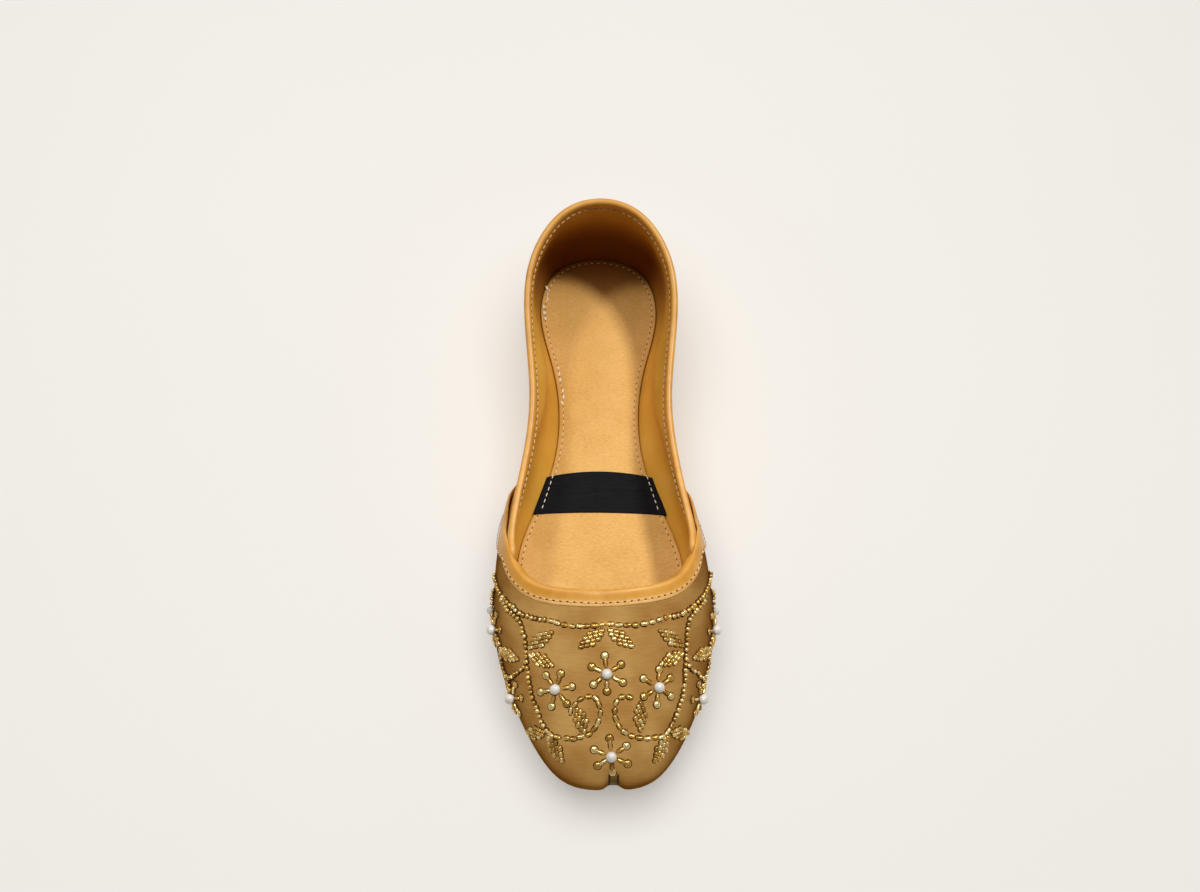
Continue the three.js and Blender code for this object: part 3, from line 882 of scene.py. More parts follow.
def sheet_mesh(columns: int, rows: int, place: Place, close_x: bool = False, close_y: bool = False,
               worn: Place | None = None) -> BMesh:
    """Bend a flat grid to a surface.

    Args:
        columns: number of faces along x.
        rows: number of faces along y.
        place: gives points in millimetres for arrays x and y that run from 0 to 1.
        close_x: the grid's x ends meet.
        close_y: the grid's y ends meet.
        worn: gives how pale the surface is, 0 to 1, for the same x and y: wear and painted highlight.

    Returns:
        The bmesh, in metres, with the grid's own UV map.
    """
    bm = bmesh.new()
    bm.loops.layers.uv.new("UVMap")
    bmesh.ops.create_grid(bm, x_segments=columns, y_segments=rows, size=0.5, calc_uvs=True)
    flat = np.array([vert.co[:2] for vert in bm.verts]) + 0.5
    for vert, point in zip(bm.verts, place(flat[:, 0], flat[:, 1]) * MM):
        vert.co = point
    if worn:
        layer = bm.verts.layers.float.new("worn")
        for vert, value in zip(bm.verts, worn(flat[:, 0], flat[:, 1])):
            vert[layer] = float(value)
    if close_x or close_y:
        bmesh.ops.remove_doubles(bm, verts=bm.verts, dist=1e-6)
    return bm


def thicken(bm: BMesh, inward: float) -> BMesh:
    """Give an open sheet a wall of inward millimetres behind its face."""
    bmesh.ops.solidify(bm, geom=bm.faces[:], thickness=inward * MM)
    return bm


def cap_ends(bm: BMesh) -> BMesh:
    """Close the open ends of a tube."""
    bmesh.ops.holes_fill(bm, edges=[edge for edge in bm.edges if edge.is_boundary], sides=0)
    return bm


def add_object(name: str, data: bpy.types.ID) -> bpy.types.Object:
    """Make an object of some data, in the scene's own collection.

    Args:
        name: the object's name.
        data: its mesh, lamp or lens.

    Returns:
        The object.
    """
    made = bpy.data.objects.new(name, data)
    bpy.context.scene.collection.objects.link(made)
    return made


def dress(name: str, mesh: bpy.types.Mesh, finish: Finish) -> bpy.types.Object:
    """Make a smooth piece of a mesh, in its finish, that rides on the root body.

    Args:
        name: the piece's name.
        mesh: its mesh.
        finish: its finish.

    Returns:
        The piece.
    """
    mesh.polygons.foreach_set("use_smooth", [True] * len(mesh.polygons))
    mesh.materials.append(finish.material())
    piece = add_object(name, mesh)
    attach(piece, BODY)
    LOG.info("%s: %d faces", name, len(mesh.polygons))
    return piece


def finish_piece(name: str, bm: BMesh, finish: Finish, replaces: Sequence[str] = ()) -> bpy.types.Object:
    """Turn a bmesh into a finished piece on the root body.

    Args:
        name: the piece's name.
        bm: its mesh, in metres, which is freed.
        finish: its finish.
        replaces: the CAD nodes that it stands for.

    Returns:
        The piece.
    """
    bmesh.ops.recalc_face_normals(bm, faces=bm.faces)
    mesh = bpy.data.meshes.new(name)
    bm.to_mesh(mesh)
    bm.free()
    piece = dress(name, mesh, finish)
    if replaces:
        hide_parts(*replaces)
    return piece


def scatter(name: str, template: BMesh, places: Sequence[Matrix], finish: Finish,
            seed: int = 1) -> bpy.types.Object:
    """Repeat a small shape at every place, joined as one piece with a tint for each copy.

    Args:
        name: the piece's name.
        template: the shape, in millimetres, which is freed.
        places: where each copy goes, in millimetres.
        finish: its finish.
        seed: seed of the tints.

    Returns:
        The piece.
    """
    template.verts.ensure_lookup_table()
    corners = np.array([[*vert.co, 1.0] for vert in template.verts])
    faces = [[vert.index for vert in face.verts] for face in template.faces]
    template.free()
    verts = np.concatenate([corners @ np.array(m).T for m in places])[:, :3] * MM
    count = len(corners)
    joined = [[index + k * count for index in face] for k in range(len(places)) for face in faces]
    mesh = bpy.data.meshes.new(name)
    mesh.from_pydata(verts.tolist(), [], joined)
    tint = mesh.attributes.new("tint", "FLOAT", "POINT")
    tint.data.foreach_set("value", np.repeat(np.random.default_rng(seed).random(len(places)), count))
    return dress(name, mesh, finish)


def pose(at: np.ndarray, ahead: np.ndarray, normal: np.ndarray, scale: Sequence[float] = (1, 1, 1)) -> Matrix:
    """Give the matrix that puts a shape's x along ahead and its z along normal.

    Args:
        at: the place in millimetres.
        ahead: the direction of the shape's x.
        normal: the direction of the shape's z, squared up to ahead.
        scale: the shape's scale along its own axes.

    Returns:
        The matrix, in millimetres.
    """
    x = Vector(ahead).normalized()
    z = (Vector(normal) - Vector(normal).dot(x) * x).normalized()
    y = z.cross(x)
    turn = Matrix((x, y, z)).transposed().to_4x4()
    return Matrix.Translation(Vector(at)) @ turn @ Matrix.Diagonal((*scale, 1.0))


@dataclass
class Line:
    """A smooth line through points, walked at even distances; its direction is read look millimetres each way."""

    points: np.ndarray
    normals: np.ndarray
    look: float = 0.2

    def walk(self, pitch: float, start: float = 0.0, margin: float = 0.0,
             span: Pair = (0.0, 1.0)) -> list[tuple[np.ndarray, np.ndarray, np.ndarray]]:
        """Give place, direction and normal at each pitch along the line.

        Args:
            pitch: the distance between places, which is stretched a little to fit a whole number.
            start: share of the pitch before the first place.
            margin: length left free at both ends.
            span: the part of the line that is walked, as shares of its length.

        Returns:
            One tuple for each place.
        """
        steps = np.linalg.norm(np.diff(self.points, axis=0), axis=1)
        run = np.concatenate([[0], np.cumsum(steps)])
        usable = run[-1] * (span[1] - span[0]) - 2 * margin
        count = max(int(round(usable / pitch)), 1)
        at = run[-1] * span[0] + margin + (np.arange(count) + start) * usable / count
        place, later, earlier, normal = (
            np.stack([np.interp(where, run, values[:, k]) for k in range(3)], axis=1)
            for where, values in ((at, self.points), (at + self.look, self.points), (at - self.look, self.points),
                                  (at, self.normals)))
        return list(zip(place, later - earlier, normal))


def smooth_line(corners: Sequence[Pair], samples: int = 24) -> np.ndarray:
    """Give points on a Catmull-Rom curve.

    Args:
        corners: the flat points that it passes through.
        samples: number of points between two corners.

    Returns:
        The points.
    """
    p = np.array(corners, float)
    p = np.concatenate([[2 * p[0] - p[1]], p, [2 * p[-1] - p[-2]]])
    t = np.linspace(0, 1, samples, endpoint=False)[:, None]
    pieces = []
    for a, b, c, d in zip(p, p[1:], p[2:], p[3:]):
        pieces.append(0.5 * (2 * b + (c - a) * t + (2 * a - 5 * b + 4 * c - d) * t ** 2
                             + (3 * b - a - 3 * c + d) * t ** 3))
    return np.concatenate([*pieces, p[-2:-1]])


def rice_grain(length: float, width: float, height: float, sides: int = 6, rings: int = 5) -> BMesh:
    """Make a small ellipsoid along x, for a stitch, a round bead or its bed.

    Args:
        length: its size along x, in millimetres.
        width: its size along y.
        height: its size along z.
        sides: number of faces round x.
        rings: number of faces from end to end.

    Returns:
        The bmesh, in millimetres.
    """
    bm = bmesh.new()
    bmesh.ops.create_uvsphere(bm, u_segments=sides, v_segments=rings, radius=0.5)
    bmesh.ops.rotate(bm, verts=bm.verts, matrix=Matrix.Rotation(math.pi / 2, 3, "Y"))
    bmesh.ops.scale(bm, verts=bm.verts, vec=(length, width, height))
    return bm


def bugle_bead(length: float, width: float, sides: int = 8) -> BMesh:
    """Make a bugle bead: a short rod along x with well rounded ends.

    Args:
        length: its length in millimetres.
        width: its thickness; the rounding of its ends is 0.3 of it.
        sides: number of faces round it.

    Returns:
        The bmesh, in millimetres.
    """
    bm = bmesh.new()
    bmesh.ops.create_cone(bm, cap_ends=True, segments=sides, radius1=width / 2, radius2=width / 2, depth=length)
    ends = [edge for edge in bm.edges if abs(edge.verts[0].co.z - edge.verts[1].co.z) < 1e-6]
    bmesh.ops.bevel(bm, geom=ends, offset=0.3 * width, offset_type="OFFSET", segments=3, profile=0.5,
                    affect="EDGES", material=-1)
    bmesh.ops.rotate(bm, verts=bm.verts, matrix=Matrix.Rotation(math.pi / 2, 3, "Y"))
    return bm


def pearl_ball(width: float) -> BMesh:
    """Make a pearl, a little flattened on its drilled axis.

    Args:
        width: its width in millimetres.

    Returns:
        The bmesh, in millimetres.
    """
    bm = bmesh.new()
    bmesh.ops.create_uvsphere(bm, u_segments=24, v_segments=14, radius=0.5)
    bmesh.ops.scale(bm, verts=bm.verts, vec=(width, width, 0.92 * width))
    return bm


# ---------------------------------------------------------------- the upper

@dataclass
class Upper:
    """Cloth vamp with its lining, and leather quarters with theirs.

    Thicknesses and the linings' places behind the seam surface are in millimetres. The vamp's lining starts
    lining_start past the quarter's front edge, so that the two don't touch.
    """

    last: ShoeLast
    vamp_back: float = -0.7
    quarter_back: float = -1.5
    lining_start: float = 0.002
    cloth: float = 0.6
    lining: float = 0.9
    leather: float = 0.7
    cloth_faces: tuple[int, int] = (260, 56)
    lining_faces: tuple[int, int] = (160, 36)
    quarter_faces: tuple[int, int] = (200, 36)

    def _sheet(self, faces: tuple[int, int], span: Curve, top: Curve, off: float | None) -> BMesh:
        """Bend one layer of the upper.

        Args:
            faces: number of faces round the shoe and up the wall.
            span: gives the way round for x.
            top: gives the layer's upper edge.
            off: distance off the seam surface; None lays it on the cloth's own face.

        Returns:
            The open sheet.
        """
        def place(x: np.ndarray, y: np.ndarray) -> np.ndarray:
            """Give the layer's points."""
            u = span(x)
            return self.last.on_upper(u, y * top(u), self.last.cloth_face(u) if off is None else off)
        return sheet_mesh(*faces, place)

    def _toe_span(self, start: float) -> Curve:
        """Run x round the toe, with more columns at the toe.

        Args:
            start: the way from heel to toe where the run starts and ends.

        Returns:
            A curve that gives u for x.
        """
        def span(x: np.ndarray) -> np.ndarray:
            """Give the way round for x."""
            t = 2 * x - 1
            return 0.5 + t * (0.5 + 0.5 * np.abs(t)) * (0.5 - start)
        return span

    def _heel_span(self, x: np.ndarray) -> np.ndarray:
        """Run x round the heel between the quarter's two front edges."""
        return (2 * x - 1) * self.last.quarter_end

    def build(self) -> bpy.types.Object:
        """Build the four layers.

        Returns:
            The vamp's cloth.
        """
        last = self.last
        vamp = self._sheet(self.cloth_faces, self._toe_span(last.wing_end), last.vamp_top, None)
        cloth = finish_piece("vamp_cloth", thicken(vamp, self.cloth), SILK, replaces=["upper"])
        behind = self._toe_span(last.quarter_end + self.lining_start)
        lining = self._sheet(self.lining_faces, behind, last.vamp_top, self.vamp_back)
        finish_piece("vamp_lining", thicken(lining, -self.lining), VAMP_DRILL)
        quarter = self._sheet(self.quarter_faces, self._heel_span, last.quarter_top, 0.0)
        finish_piece("quarter_leather", thicken(quarter, self.leather), QUARTER_LEATHER)
        inside = self._sheet(self.quarter_faces, self._heel_span, last.quarter_top, self.quarter_back)
        finish_piece("quarter_lining", thicken(inside, -self.leather), LINING_LEATHER)
        return cloth


# ---------------------------------------------------------------- bindings

@dataclass
class Binding:
    """A leather strip folded over a free edge and stitched along its flange.

    section gives the strip's corners at u as pairs of off and beyond, in millimetres. Each stitch row is its
    distance off the seam surface, its distance beyond the edge and the share of the strip's length that it takes.
    rubbed pairs the way round the section with the strength of its wear and painted highlight there, and handled
    gives that strength along the edge.
    """

    last: ShoeLast
    name: str
    node: str
    top: Curve
    start: float
    end: float
    section: Curve
    stitch_rows: tuple[Triple, ...]
    wear_and_highlight: tuple[Pair, ...]
    rise: Curve = np.zeros_like
    wear_and_highlight_along: Curve = np.ones_like
    thread: Finish = THREAD
    thread_width: float = 0.45
    thread_height: float = 0.45
    hole: Pair = (0.6, 0.4)
    hole_depth: float = 0.3
    pitch: float = 2.8
    dash: float = 2.1
    free_end: float = 2.0
    stations: int = 420
    corners: int = 40
    samples: int = 900

    def _profile(self, u: np.ndarray, y: np.ndarray) -> tuple[np.ndarray, np.ndarray]:
        """Follow the strip's section, as a smooth closed curve.

        Args:
            u: places along the edge.
            y: the way round the section, 0 to 1.

        Returns:
            The distance off the seam surface, and the distance beyond the edge.
        """
        corners = self.section(u)
        count = corners.shape[1]
        at = (y % 1.0) * count
        i = np.floor(at).astype(int)
        t = (at - i)[:, None]
        each = np.arange(len(u))
        mixed = blend_four(t, [corners[each, (i + k) % count] for k in (-1, 0, 1, 2)])
        return mixed[:, 0], mixed[:, 1]

    def build(self) -> None:
        """Build the strip and its stitches."""
        strip = sheet_mesh(self.stations, self.corners, self._face, close_y=True, worn=self._wear_and_highlight)
        finish_piece(self.name, cap_ends(strip), BINDING_LEATHER, replaces=[self.node])
        self._stitch()

    def _face(self, x: np.ndarray, y: np.ndarray) -> np.ndarray:
        """Give the strip's points, for x along it and y round its section."""
        u = self.start + (self.end - self.start) * x
        return self.last.near_edge(u, self.top, *self._profile(u, y))

    def _wear_and_highlight(self, x: np.ndarray, y: np.ndarray) -> np.ndarray:
        """Give how pale the strip is at the same places, as wear and painted highlight."""
        keys, values = zip(*self.wear_and_highlight)
        return np.interp(y, keys, values) * self.wear_and_highlight_along(self.start + (self.end - self.start) * x)

    def _stitch(self) -> None:
        """Lay dashes of thread and their needle holes along each row."""
        dashes, holes = [], []
        for off, below, reach in self.stitch_rows:
            way = np.linspace(-1, 1, self.samples)
            u = 0.5 * (self.start + self.end) + 0.5 * reach * (self.end - self.start) * way
            row = below + self.rise(u)
            points = self.last.near_edge(u, self.top, np.full_like(u, off), row)
            inner = self.last.near_edge(u, self.top, np.full_like(u, off - 1), row)
            line = Line(points, (points - inner) * (1 if off > 0 else -1))
            for places, start in ((dashes, 0.0), (holes, 0.5)):
                places += [pose(*at) for at in line.walk(self.pitch, start=start, margin=self.free_end)]
        dash = rice_grain(self.dash, self.thread_width, self.thread_height)
        scatter(f"{self.name}_stitches", dash, dashes, self.thread)
        scatter(f"{self.name}_needle_holes", rice_grain(*self.hole, self.hole_depth), holes, NEEDLE_HOLE)


@dataclass(frozen=True)
class QuarterFold:
    """The section of the top line's binding: a thin fold over the quarter's edge, stitched inside.

    The strip runs round the heel, up to reach in the way from heel to toe on both sides.
    """

    reach: float = 0.3
    corners: tuple[Pair, ...] = (
        (0.35, -2.8), (0.62, -1.6), (0.68, 0.2), (0.55, 1.1), (-0.2, 1.65), (-1.2, 1.7), (-2.05, 1.25),
        (-2.35, 0.2), (-2.2, -0.8), (-2.1, -2.4), (-2.0, -3.5), (-1.55, -3.5), (-1.5, -1.5), (-1.3, 0.1),
        (-0.6, 0.2), (0.05, 0.0), (0.1, -2.6))

    def section(self, u: np.ndarray) -> np.ndarray:
        """Give the same corners at every place."""
        return np.broadcast_to(np.array(self.corners), (len(u), len(self.corners), 2))


@dataclass(frozen=True)
class ThroatFold:
    """The section of the throat's binding: a fold at the throat, and a flat edging down the wings.

    The strip starts after_tip past the wing's tip. That and the spans are in the way from heel to toe, and lengths
    are in millimetres. Down a wing the strip widens into the room between the vamp's edge and the quarter's, up to
    a most that grows from wing_most to throat_most.
    """

    last: ShoeLast
    after_tip: float = 0.004
    most_rise: float = 1.3
    rise_span: Pair = (0.34, 0.44)
    fold_span: Pair = (0.3, 0.316)
    lip_span: Pair = (0.32, 0.338)
    close_span: Pair = (0.286, 0.3)
    most_span: Pair = (0.22, 0.265)
    wing_most: float = 1.9
    throat_most: float = 5.0
    wall_height: float = 44.0
    over_cloth: float = 0.05
    inner_off: Pair = (0.6, -1.6)
    inner_down: Pair = (0.45, -2.6)
    least_wear_and_highlight: float = 0.2
    wear_and_highlight_span: Pair = (0.3, 0.4)

    def rise(self, u: np.ndarray) -> np.ndarray:
        """Give how far the binding stands above the cloth's edge: most at the middle of the throat."""
        return self.most_rise * self.last.ease(self.last.side(u), *self.rise_span)

    def wear_and_highlight_along(self, u: np.ndarray) -> np.ndarray:
        """Give the strength of the strip's wear and painted highlight along it: most at the middle of the throat."""
        wear_and_highlight = self.last.ease(self.last.side(u), *self.wear_and_highlight_span)
        return self.least_wear_and_highlight + (1 - self.least_wear_and_highlight) * wear_and_highlight

    def section(self, u: np.ndarray) -> np.ndarray:
        """Give the section's corners.

        Args:
            u: places along the edge.

        Returns:
            The corners at each place, as off and beyond.
        """
        last, side = self.last, self.last.side(u)
        fold = last.ease(side, *self.fold_span)
        lip = last.ease(side, *self.lip_span)
        face = last.cloth_face(u) + self.over_cloth
        inner = self.inner_off[0] + fold * (self.inner_off[1] - self.inner_off[0])
        rise = self.rise(u)
        room = np.maximum(self.wall_height * (last.quarter_top(u) - last.vamp_top(u)), 0)
        room = room * (1 - last.ease(side, *self.close_span))
        most = self.wing_most + (self.throat_most - self.wing_most) * last.ease(side, *self.most_span)
        wide = most * room / (most + room)
        down = self.inner_down[0] + lip * (self.inner_down[1] - self.inner_down[0])
        one = np.ones_like(u)
        corners = [(face + 0.35, -4.9), (face + 0.6, -4.2), (face + 0.62, -2.4), (face + 0.75, wide - 0.6),
                   (face + 0.6, wide + 0.9), (face + 0.05, wide + 1.6), (0.5 * (face + inner), wide + 1.75),
                   (inner + 0.2, wide + 1.5), (inner - 0.1, wide + 0.9), (inner, down), (inner + 0.6, down),
                   (inner + 0.7, 0.35), (face - 0.2, 0.3), (face, 0.0), (face, -2.4), (face, -4.9)]
        return np.stack([np.stack([a * one, b * one + rise], axis=1) for a, b in corners], axis=1)


# ---------------------------------------------------------------- sole and sock

@dataclass
class SolePlate:
    """A plate drawn out from its spine to the shoe's outline.

    profile gives reach, level and trim from below to above: the way out from the spine, the way from the
    underside to the top, and the millimetres taken off the outline. crown lifts the middle, and crown_powers say
    how sharply it falls to the underside and to the outline.
    """

    last: ShoeLast
    name: str
    node: str
    outside: Curve
    profile: tuple[Triple, ...]
    under: Curve
    over: Curve
    crown: float = 0.0
    crown_powers: tuple[int, int] = (8, 6)
    segments: int = 260
    rows: int = 60

    def build(self, finish: Finish) -> None:
        """Build the plate in its finish."""
        bm = sheet_mesh(self.segments, self.rows, self._face, close_x=True)
        finish_piece(self.name, bm, finish, replaces=[self.node])

    def _face(self, x: np.ndarray, y: np.ndarray) -> np.ndarray:
        """Give the plate's points.

        Args:
            x: the way round the shoe.
            y: the way along the profile.

        Returns:
            The points.
        """
        table = np.array(self.profile)
        keys = np.linspace(0, 1, len(table))
        reach, level, trim = (np.interp(y, keys, table[:, k]) for k in range(3))
        points = self.last.footprint(x, reach, self.outside(x) - trim)
        s = self.last.heel_to_origin - points[:, 1]
        low, high = self.under(s), self.over(s)
        sharp, edge = self.crown_powers
        points[:, 2] = low + (high - low) * level + self.crown * level ** sharp * (1 - reach ** edge)
        return points


@dataclass
class Sole:
    """Outsole with its stitching, and the sock with its stitches and bare label band.

    Lengths are in millimetres, and the label and the loose stitches are placed from the heel back. A dash or hole
    is a rice grain's length, width and height. lifts are how far stitches stand off what they are sewn to.
    """

    last: ShoeLast
    gap: float = 0.3
    sock_thickness: float = 2.0
    sock_inset: float = 1.7
    loose: tuple[Pair, ...] = ((17, -23.2), (27, -24.2), (58, -17.4), (69, -15.8))
    edge_reach: Pair = (2.4, 1.0)
    edge_span: Pair = (0.38, 0.46)
    edge_notch: float = 0.8
    notch_at: float = 0.3
    edge_profile: tuple[Triple, ...] = (
        (0, 0, 0), (0.4, 0, 0), (0.8, 0, 0), (0.97, 0, 0), (1, 0, 1.0), (1, 0.1, 0.35), (1, 0.3, 0.0), (1, 0.46, 0.0),
        (1, 0.5, 0.3), (1, 0.54, 0.0), (1, 0.8, 0.0), (1, 0.93, 0.3), (1, 1, 1.0), (0.9, 1, 0), (0.5, 1, 0),
        (0, 1, 0))
    sock_profile: tuple[Triple, ...] = (
        (0, 0, 0), (0.5, 0, 0), (1, 0, 0.2), (1, 0.45, 0), (1, 0.85, 0.05), (1, 1, 0.3), (0.9, 1, 0), (0.5, 1, 0),
        (0, 1, 0))
    sock_crown: float = 0.5
    samples: int = 1400
    sock_row: float = 1.9
    sock_pitch: float = 2.9
    sock_dash: Triple = (1.8, 0.45, 0.4)
    sock_hole: Triple = (0.8, 0.5, 0.3)
    tread_row: float = 4.0
    tread_pitch: float = 4.2
    tread_dash: Triple = (3.2, 0.8, 0.5)
    sock_lift: float = 0.18
    thread_lift: float = 0.12
    loose_lift: float = 0.25
    loose_knot: Triple = (2.2, 1.2, 0.9)
    loose_count: int = 3
    loose_step: float = 3.0
    loose_jog: float = 0.35
    loose_lean: Pair = (0.1, 0.25)
    loose_sizes: Pair = (0.7, 1.2)
    label: Pair = (107.0, 125.6)
    label_half: Pair = (22.0, 28.3)
    label_shift: float = 0.5
    label_bow: Pair = (2.6, 1.6)
    label_off: float = 0.38
    label_crown: float = 0.5
    label_crown_power: int = 6
    label_thickness: float = 0.3
    label_stitch: float = 0.89
    label_row: Pair = (0.03, 0.97)
    label_dash: Triple = (1.9, 0.45, 0.4)
    label_pitch: float = 2.7

    def build(self) -> None:
        """Build the outsole, the sock, their stitches and the label band."""
        last = self.last
        SolePlate(last, "outsole_leather", "outsole", self._welt, self.edge_profile, last.tread_height,
                  self._outsole_top).build(SOLE)
        SolePlate(last, "sock", "insole", self._sock_edge, self.sock_profile, last.feather_height, self._sock_top,
                  crown=self.sock_crown).build(SOCK)
        self._stitches()
        self._label()

    def _welt(self, u: np.ndarray) -> np.ndarray:
        """Give how far the outsole stands outside the feather line: less at the toe, and notched at the cleft.

        Args:
            u: places round the shoe.

        Returns:
            The distance in millimetres.
        """
        back, toe = self.edge_reach
        reach = back + (toe - back) * self.last.ease(self.last.side(u), *self.edge_span)
        return reach - self.edge_notch * self.last.cleft(u, np.full_like(u, self.notch_at))

    def _outsole_top(self, s: np.ndarray) -> np.ndarray:
        """Give the height of the outsole's top."""
        return self.last.feather_height(s) - self.gap

    def _sock_edge(self, u: np.ndarray) -> np.ndarray:
        """Give how far the sock's edge stands outside the feather line: inside it by its inset."""
        return np.full_like(u, -self.sock_inset)

    def _sock_top(self, s: np.ndarray) -> np.ndarray:
        """Give the height of the sock's face, without its crown."""
        return self.last.feather_height(s) + self.sock_thickness

    def _sock_height(self, points: np.ndarray) -> np.ndarray:
        """Lift plan points to the sock's face.

        Args:
            points: the points.

        Returns:
            The lifted points.
        """
        lifted = points.copy()
        lifted[:, 2] = self._sock_top(self.last.heel_to_origin - points[:, 1])
        return lifted

    @staticmethod
    def _level_line(points: np.ndarray, lift: float) -> Line:
        """Lift points and join them in a line whose stitches lie level."""
        return Line(points + np.array([0.0, 0.0, lift]), np.tile([0.0, 0.0, 1.0], (len(points), 1)))

    def _stitches(self) -> None:
        """Stitch round the sock and round the outsole's tread."""
        u = np.linspace(0, 1, self.samples)
        inside = self.last.footprint(u, np.ones_like(u), -self.sock_inset - self.sock_row)
        line = self._level_line(self._sock_height(inside), self.sock_lift)
        for name, start, size, finish in (("sock_stitches", 0.0, self.sock_dash, THREAD),
                                          ("sock_needle_holes", 0.5, self.sock_hole, NEEDLE_HOLE)):
            scatter(name, rice_grain(*size), [pose(*at) for at in line.walk(self.sock_pitch, start=start)], finish)
        self._loose_stitches()
        under = self.last.footprint(u, np.ones_like(u), self._welt(u) - self.tread_row)
        under[:, 2] = self.last.tread_height(self.last.heel_to_origin - under[:, 1])
        tread = [pose(p, d, -n) for p, d, n in self._level_line(under, self.thread_lift).walk(self.tread_pitch)]
        scatter("tread_stitches", rice_grain(*self.tread_dash), tread, THREAD)

    def _loose_stitches(self) -> None:
        """Lay the few slack, swollen stitches beside the outer side's row."""
        rng = np.random.default_rng(5)
        places = []
        for s, x in self.loose:
            for k in range(self.loose_count):
                y = self.last.heel_to_origin - s - self.loose_step * k
                spot = np.array([[x + rng.normal(0, self.loose_jog), y, 0.0]])
                at = self._sock_height(spot)[0] + np.array([0, 0, self.loose_lift])
                size = rng.uniform(*self.loose_sizes, 3)
                ahead = np.array([rng.normal(*self.loose_lean), -1.0, 0])
                places.append(pose(at, ahead, np.array([0, 0, 1.0]), size))
        scatter("loose_stitches", rice_grain(*self.loose_knot), places, KNOT_THREAD, seed=14)

    def _label_face(self, x: np.ndarray, y: np.ndarray) -> np.ndarray:
        """Give points of the label band: bowed towards the toe at its ends, and crowned in the middle.

        Args:
            x: the way across the shoe.
            y: the way along it, towards the toe.

        Returns:
            The points.
        """
        low, high = self.label
        way = 2 * x - 1
        s = low + (high - low) * y + way ** 2 * (self.label_bow[0] - self.label_bow[1] * y)
        across = way * np.interp(s, [low, high], self.label_half) + self.label_shift
        points = np.stack([across + self.last.swing(s), self.last.heel_to_origin - s, np.zeros_like(s)], axis=1)
        points = self._sock_height(points)
        points[:, 2] += self.label_crown * (1 - np.abs(way) ** self.label_crown_power) + self.label_off
        return points

    def _label(self) -> None:
        """Lay the bare band across the sock and sew down its two ends."""
        bm = sheet_mesh(columns=60, rows=24, place=self._label_face)
        band = finish_piece("label_band", thicken(bm, self.label_thickness), LABEL)
        y = np.linspace(*self.label_row, num=60)
        dashes = []
        for sign in (-1, 1):
            row = self._label_face(np.full_like(y, 0.5 + sign * 0.5 * self.label_stitch), y)
            dashes += [pose(*at) for at in self._level_line(row, self.thread_lift).walk(self.label_pitch)]
        stitches = scatter("label_stitches", rice_grain(*self.label_dash), dashes, WHITE_THREAD)


@dataclass
class ToeTab:
    """A narrow strip of leather that runs up the cleft, with dark seams of painted shade beside it.

    half_width is in the way round the shoe, low and high in the way up the wall, and the rest in millimetres.
    """

    last: ShoeLast
    half_width: float = 0.0042
    low: float = 0.03
    high: float = 0.51
    off: float = 2.4
    rounding: float = 0.5
    thickness: float = 0.8
    seam_shade_widths: float = 1.5
    seam_shade_below: float = 0.35

    def _strip(self, half: float, off: float) -> BMesh:
        """Bend a strip over the seam surface.

        Args:
            half: its half width, in the way round the shoe.
            off: its distance off the seam surface.

        Returns:
            The strip, with its thickness.
        """
        def place(x: np.ndarray, y: np.ndarray) -> np.ndarray:
            """Give the strip's points."""
            u, v = 0.5 - self.last.cleft_shift + (2 * x - 1) * half, self.low + (self.high - self.low) * y
            return self.last.on_upper(u, v, off - self.rounding * (2 * x - 1) ** 2)
        return thicken(sheet_mesh(columns=10, rows=40, place=place), self.thickness)

    def build(self) -> None:
        """Build the strip and the dark seam of painted shade that shows on both sides of it."""
        # painted shade: a wider dark strip below the toe strip, seen on both sides of it
        seam = self._strip(self.seam_shade_widths * self.half_width, self.off - self.seam_shade_below)
        finish_piece("toe_strip", self._strip(self.half_width, self.off), TAB_LEATHER, replaces=["toe_tab"])
        finish_piece("toe_seam_shade", seam, THREAD_AND_SHADE)


# ---------------------------------------------------------------- embroidery

class Side(Enum):
    """The two sides of the vamp, as the sign of a pattern point's first number."""

    INNER = 1
    OUTER = -1


